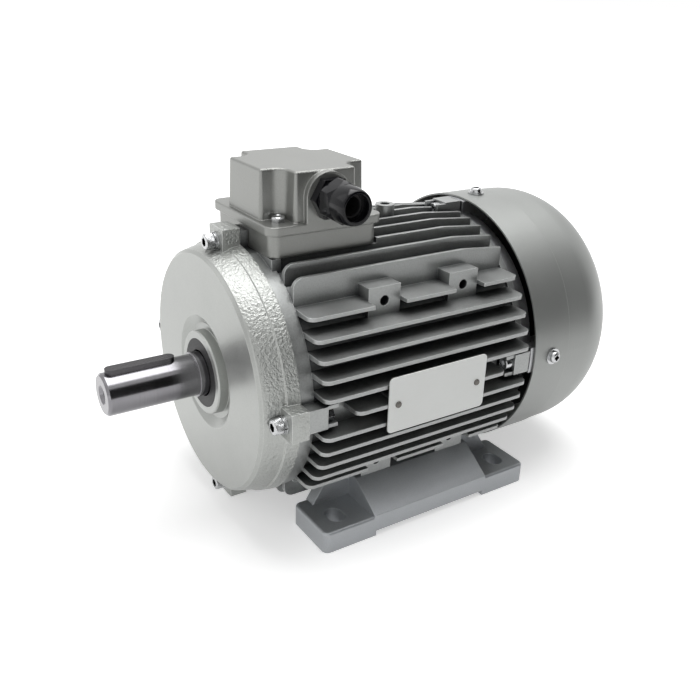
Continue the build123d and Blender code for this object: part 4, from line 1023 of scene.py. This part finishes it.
def finish_piece(
    name: str, form: bmesh.types.BMesh, node: str, finish: Finish, wardrobe: Wardrobe
) -> bpy.types.Object:
    """Close a new piece of the stator: outward faces, creases, finish, body and replaced node.

    Args:
        name: Name of the piece.
        form: Its bmesh, which is freed.
        node: CAD node that it stands for.
        finish: Its finish.
        wardrobe: Keeper of the materials.

    Returns:
        The piece.
    """
    bmesh.ops.remove_doubles(form, verts=form.verts, dist=MERGE_DISTANCE)
    bmesh.ops.recalc_face_normals(form, faces=form.faces)
    piece = new_object(name, form)
    piece.data.shade_smooth()
    piece.data.set_sharp_from_angle(angle=CREASE_ANGLE)
    wardrobe.dress(piece, finish)
    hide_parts(node)
    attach(piece, STATOR)
    return piece


@dataclass(frozen=True)
class Lamp:
    """One square soft lamp, in metres and watts."""

    name: str
    place: tuple[float, float, float]
    size: float
    power: float

    def hang(self) -> None:
        """Hang the lamp so that it looks at the middle of the motor."""
        data = bpy.data.lights.new(self.name, "AREA")
        data.shape = "SQUARE"
        data.size = self.size
        data.energy = self.power
        lamp = bpy.data.objects.new(self.name, data)
        lamp.location = self.place
        aim = Vector((0.0, 0.0, SHAFT_HEIGHT * MM)) - Vector(self.place)
        lamp.rotation_euler = aim.to_track_quat("-Z", "Y").to_euler()
        bpy.context.scene.collection.objects.link(lamp)


@dataclass
class Studio:
    """Pale floor and sky, soft lamps, a dark card beside the motor and the camera, in metres."""

    lamps: tuple[Lamp, ...] = (
        Lamp("key_lamp", (-0.8, -1.3, 1.6), 1.3, 4.0),
        Lamp("top_lamp", (-0.2, 0.3, 1.8), 1.5, 30.0),
    )
    floor_size: float = 40.0
    floor_shade: float = 0.86
    haze_start: float = 0.5
    haze_end: float = 1.6
    glow_near: float = 0.46
    glow_far: float = 1.1
    sky_level: float = 0.42
    card_place: tuple[float, float, float] = (0.80, 0.50, 0.34)
    card_size: float = 1.3
    camera_place: tuple[float, float, float] = (0.4581, -0.31515, 0.33804)
    camera_right: tuple[float, float, float] = (0.5442994, 0.8383177, 0.0310113)
    camera_up: tuple[float, float, float] = (-0.3590981, 0.1994262, 0.9117444)
    lens: float = 41.896

    def build(self) -> None:
        """Make the floor, the world, the card, the lamps and the camera."""
        self._world()
        self._floor()
        self._card()
        for lamp in self.lamps:
            lamp.hang()
        self._camera()

    def _background_rays(self, tree: bpy.types.NodeTree) -> Any:
        """Tell the rays that see the pale background: those of the camera, of gloss and of glass.

        Args:
            tree: Node tree of the world or the floor.

        Returns:
            Socket that is 1 for such a ray.
        """
        path = add_node(tree, "ShaderNodeLightPath").outputs
        seen = add_node(
            tree,
            "ShaderNodeMath",
            {"operation": "MAXIMUM"},
            {0: path["Is Camera Ray"], 1: path["Is Transmission Ray"]},
        ).outputs[0]
        return add_node(
            tree, "ShaderNodeMath", {"operation": "MAXIMUM"}, {0: seen, 1: path["Is Glossy Ray"]}
        ).outputs[0]

    def _world(self) -> None:
        """Give the camera and the reflections a pale background and the object a level light."""
        world = bpy.data.worlds.new("studio")
        world.use_nodes = True
        tree = world.node_tree
        tree.nodes.clear()
        strength = add_node(
            tree, "ShaderNodeMapRange", {3: self.sky_level, 4: 1.0}, {0: self._background_rays(tree)}
        ).outputs[0]
        sky = add_node(tree, "ShaderNodeBackground", {"Color": (1.0, 1.0, 1.0, 1.0)}, {"Strength": strength})
        add_node(tree, "ShaderNodeOutputWorld", None, {"Surface": sky.outputs[0]})
        bpy.context.scene.world = world

    def _floor(self) -> None:
        """Lay a pale floor that keeps the shadow and turns white further off."""
        form = bmesh.new()
        bmesh.ops.create_grid(form, x_segments=1, y_segments=1, size=self.floor_size / 2)
        floor = new_object("floor", form)
        material = bpy.data.materials.new("pale_floor")
        material.use_nodes = True
        tree = material.node_tree
        tree.nodes.clear()
        place = add_node(tree, "ShaderNodeTexCoord").outputs["Object"]
        away = add_node(tree, "ShaderNodeVectorMath", {"operation": "LENGTH"}, {0: place}).outputs["Value"]
        haze = {1: self.haze_start, 2: self.haze_end, 3: self.glow_near, 4: self.glow_far}
        level = add_node(tree, "ShaderNodeMapRange", haze, {0: away}).outputs[0]
        lift = add_node(
            tree, "ShaderNodeMath", {"operation": "MULTIPLY"}, {0: self._background_rays(tree), 1: level}
        ).outputs[0]
        shade = (self.floor_shade, self.floor_shade, self.floor_shade, 1.0)
        matt = add_node(tree, "ShaderNodeBsdfDiffuse", {"Color": shade})
        glow = add_node(tree, "ShaderNodeEmission", None, {"Strength": lift})
        both = add_node(tree, "ShaderNodeAddShader", None, {0: matt.outputs[0], 1: glow.outputs[0]})
        add_node(tree, "ShaderNodeOutputMaterial", None, {"Surface": both.outputs[0]})
        floor.data.materials.append(material)

    def _card(self) -> None:
        """Stand a dark card on the gland's side, which no camera sees and which shades that side."""
        form = bmesh.new()
        bmesh.ops.create_grid(form, x_segments=1, y_segments=1, size=self.card_size / 2)
        place = Vector(self.card_place)
        aim = Vector((0.0, 0.0, SHAFT_HEIGHT * MM)) - place
        turn = aim.to_track_quat("Z", "Y").to_matrix().to_4x4()
        bmesh.ops.transform(form, matrix=Matrix.Translation(place) @ turn, verts=form.verts)
        card = new_object("dark_card", form)
        material = bpy.data.materials.new("dark_card_cloth")
        material.use_nodes = True
        tree = material.node_tree
        tree.nodes.clear()
        matt = add_node(tree, "ShaderNodeBsdfDiffuse", {"Color": linear_colour("262626")})
        add_node(tree, "ShaderNodeOutputMaterial", None, {"Surface": matt.outputs[0]})
        card.data.materials.append(material)
        card.visible_camera = False

    def _camera(self) -> None:
        """Stand the camera where the photograph was taken from."""
        data = bpy.data.cameras.new("camera")
        data.lens = self.lens
        data.sensor_width = 36.0
        camera = bpy.data.objects.new("camera", data)
        right = Vector(self.camera_right)
        up = Vector(self.camera_up)
        turn = Matrix((right, up, right.cross(up))).transposed().to_4x4()
        camera.matrix_world = Matrix.Translation(self.camera_place) @ turn
        bpy.context.scene.collection.objects.link(camera)
        bpy.context.scene.camera = camera


def settle(form: bmesh.types.BMesh) -> None:
    """Sort a bmesh by place, because the operators change their order from run to run.

    The first corner of each face stays, because it decides how the face is split into triangles.

    Args:
        form: The bmesh, whose shape is kept.
    """
    ordered = (
        (form.verts, lambda vertex: tuple(round(value, PLACE_DIGITS) for value in vertex.co)),
        (form.edges, lambda edge: sorted(vertex.index for vertex in edge.verts)),
        (form.faces, lambda face: [vertex.index for vertex in face.verts]),
    )
    for sequence, place in ordered:
        for index, part in enumerate(sorted(sequence, key=place)):
            part.index = index
        sequence.sort()


def new_object(name: str, form: bmesh.types.BMesh) -> bpy.types.Object:
    """Turn a bmesh into a linked object at the origin.

    Args:
        name: Name of the object.
        form: The bmesh, which is freed.

    Returns:
        The new object.
    """
    settle(form)
    data = bpy.data.meshes.new(name)
    form.to_mesh(data)
    form.free()
    item = bpy.data.objects.new(name, data)
    bpy.context.scene.collection.objects.link(item)
    return item


def main() -> None:
    """Build the sub-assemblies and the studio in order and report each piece."""
    logging.basicConfig(level=logging.INFO, format="%(name)s: %(message)s")
    bpy.context.scene.view_settings.view_transform = "Standard"
    wardrobe = Wardrobe()
    motor = [
        Casing(),
        DriveEnd(),
        FanEnd(),
        ShaftAndRotor(),
        Bearings(),
        WoundCore(),
        TerminalBox(),
        CableGland(),
        RatingPlate(),
    ]
    bare = set(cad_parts)
    for assembly in motor:
        for item in assembly.build(wardrobe):
            faces = len(item.data.polygons)
            log.info("%s: %s, %d faces", type(assembly).__name__, item.name, faces)
        bare.difference_update(assembly.finishes)
    log.info("nodes without a finish: %s", sorted(bare) or "none")
    Studio().build()


if __name__ == "__main__":
    main()
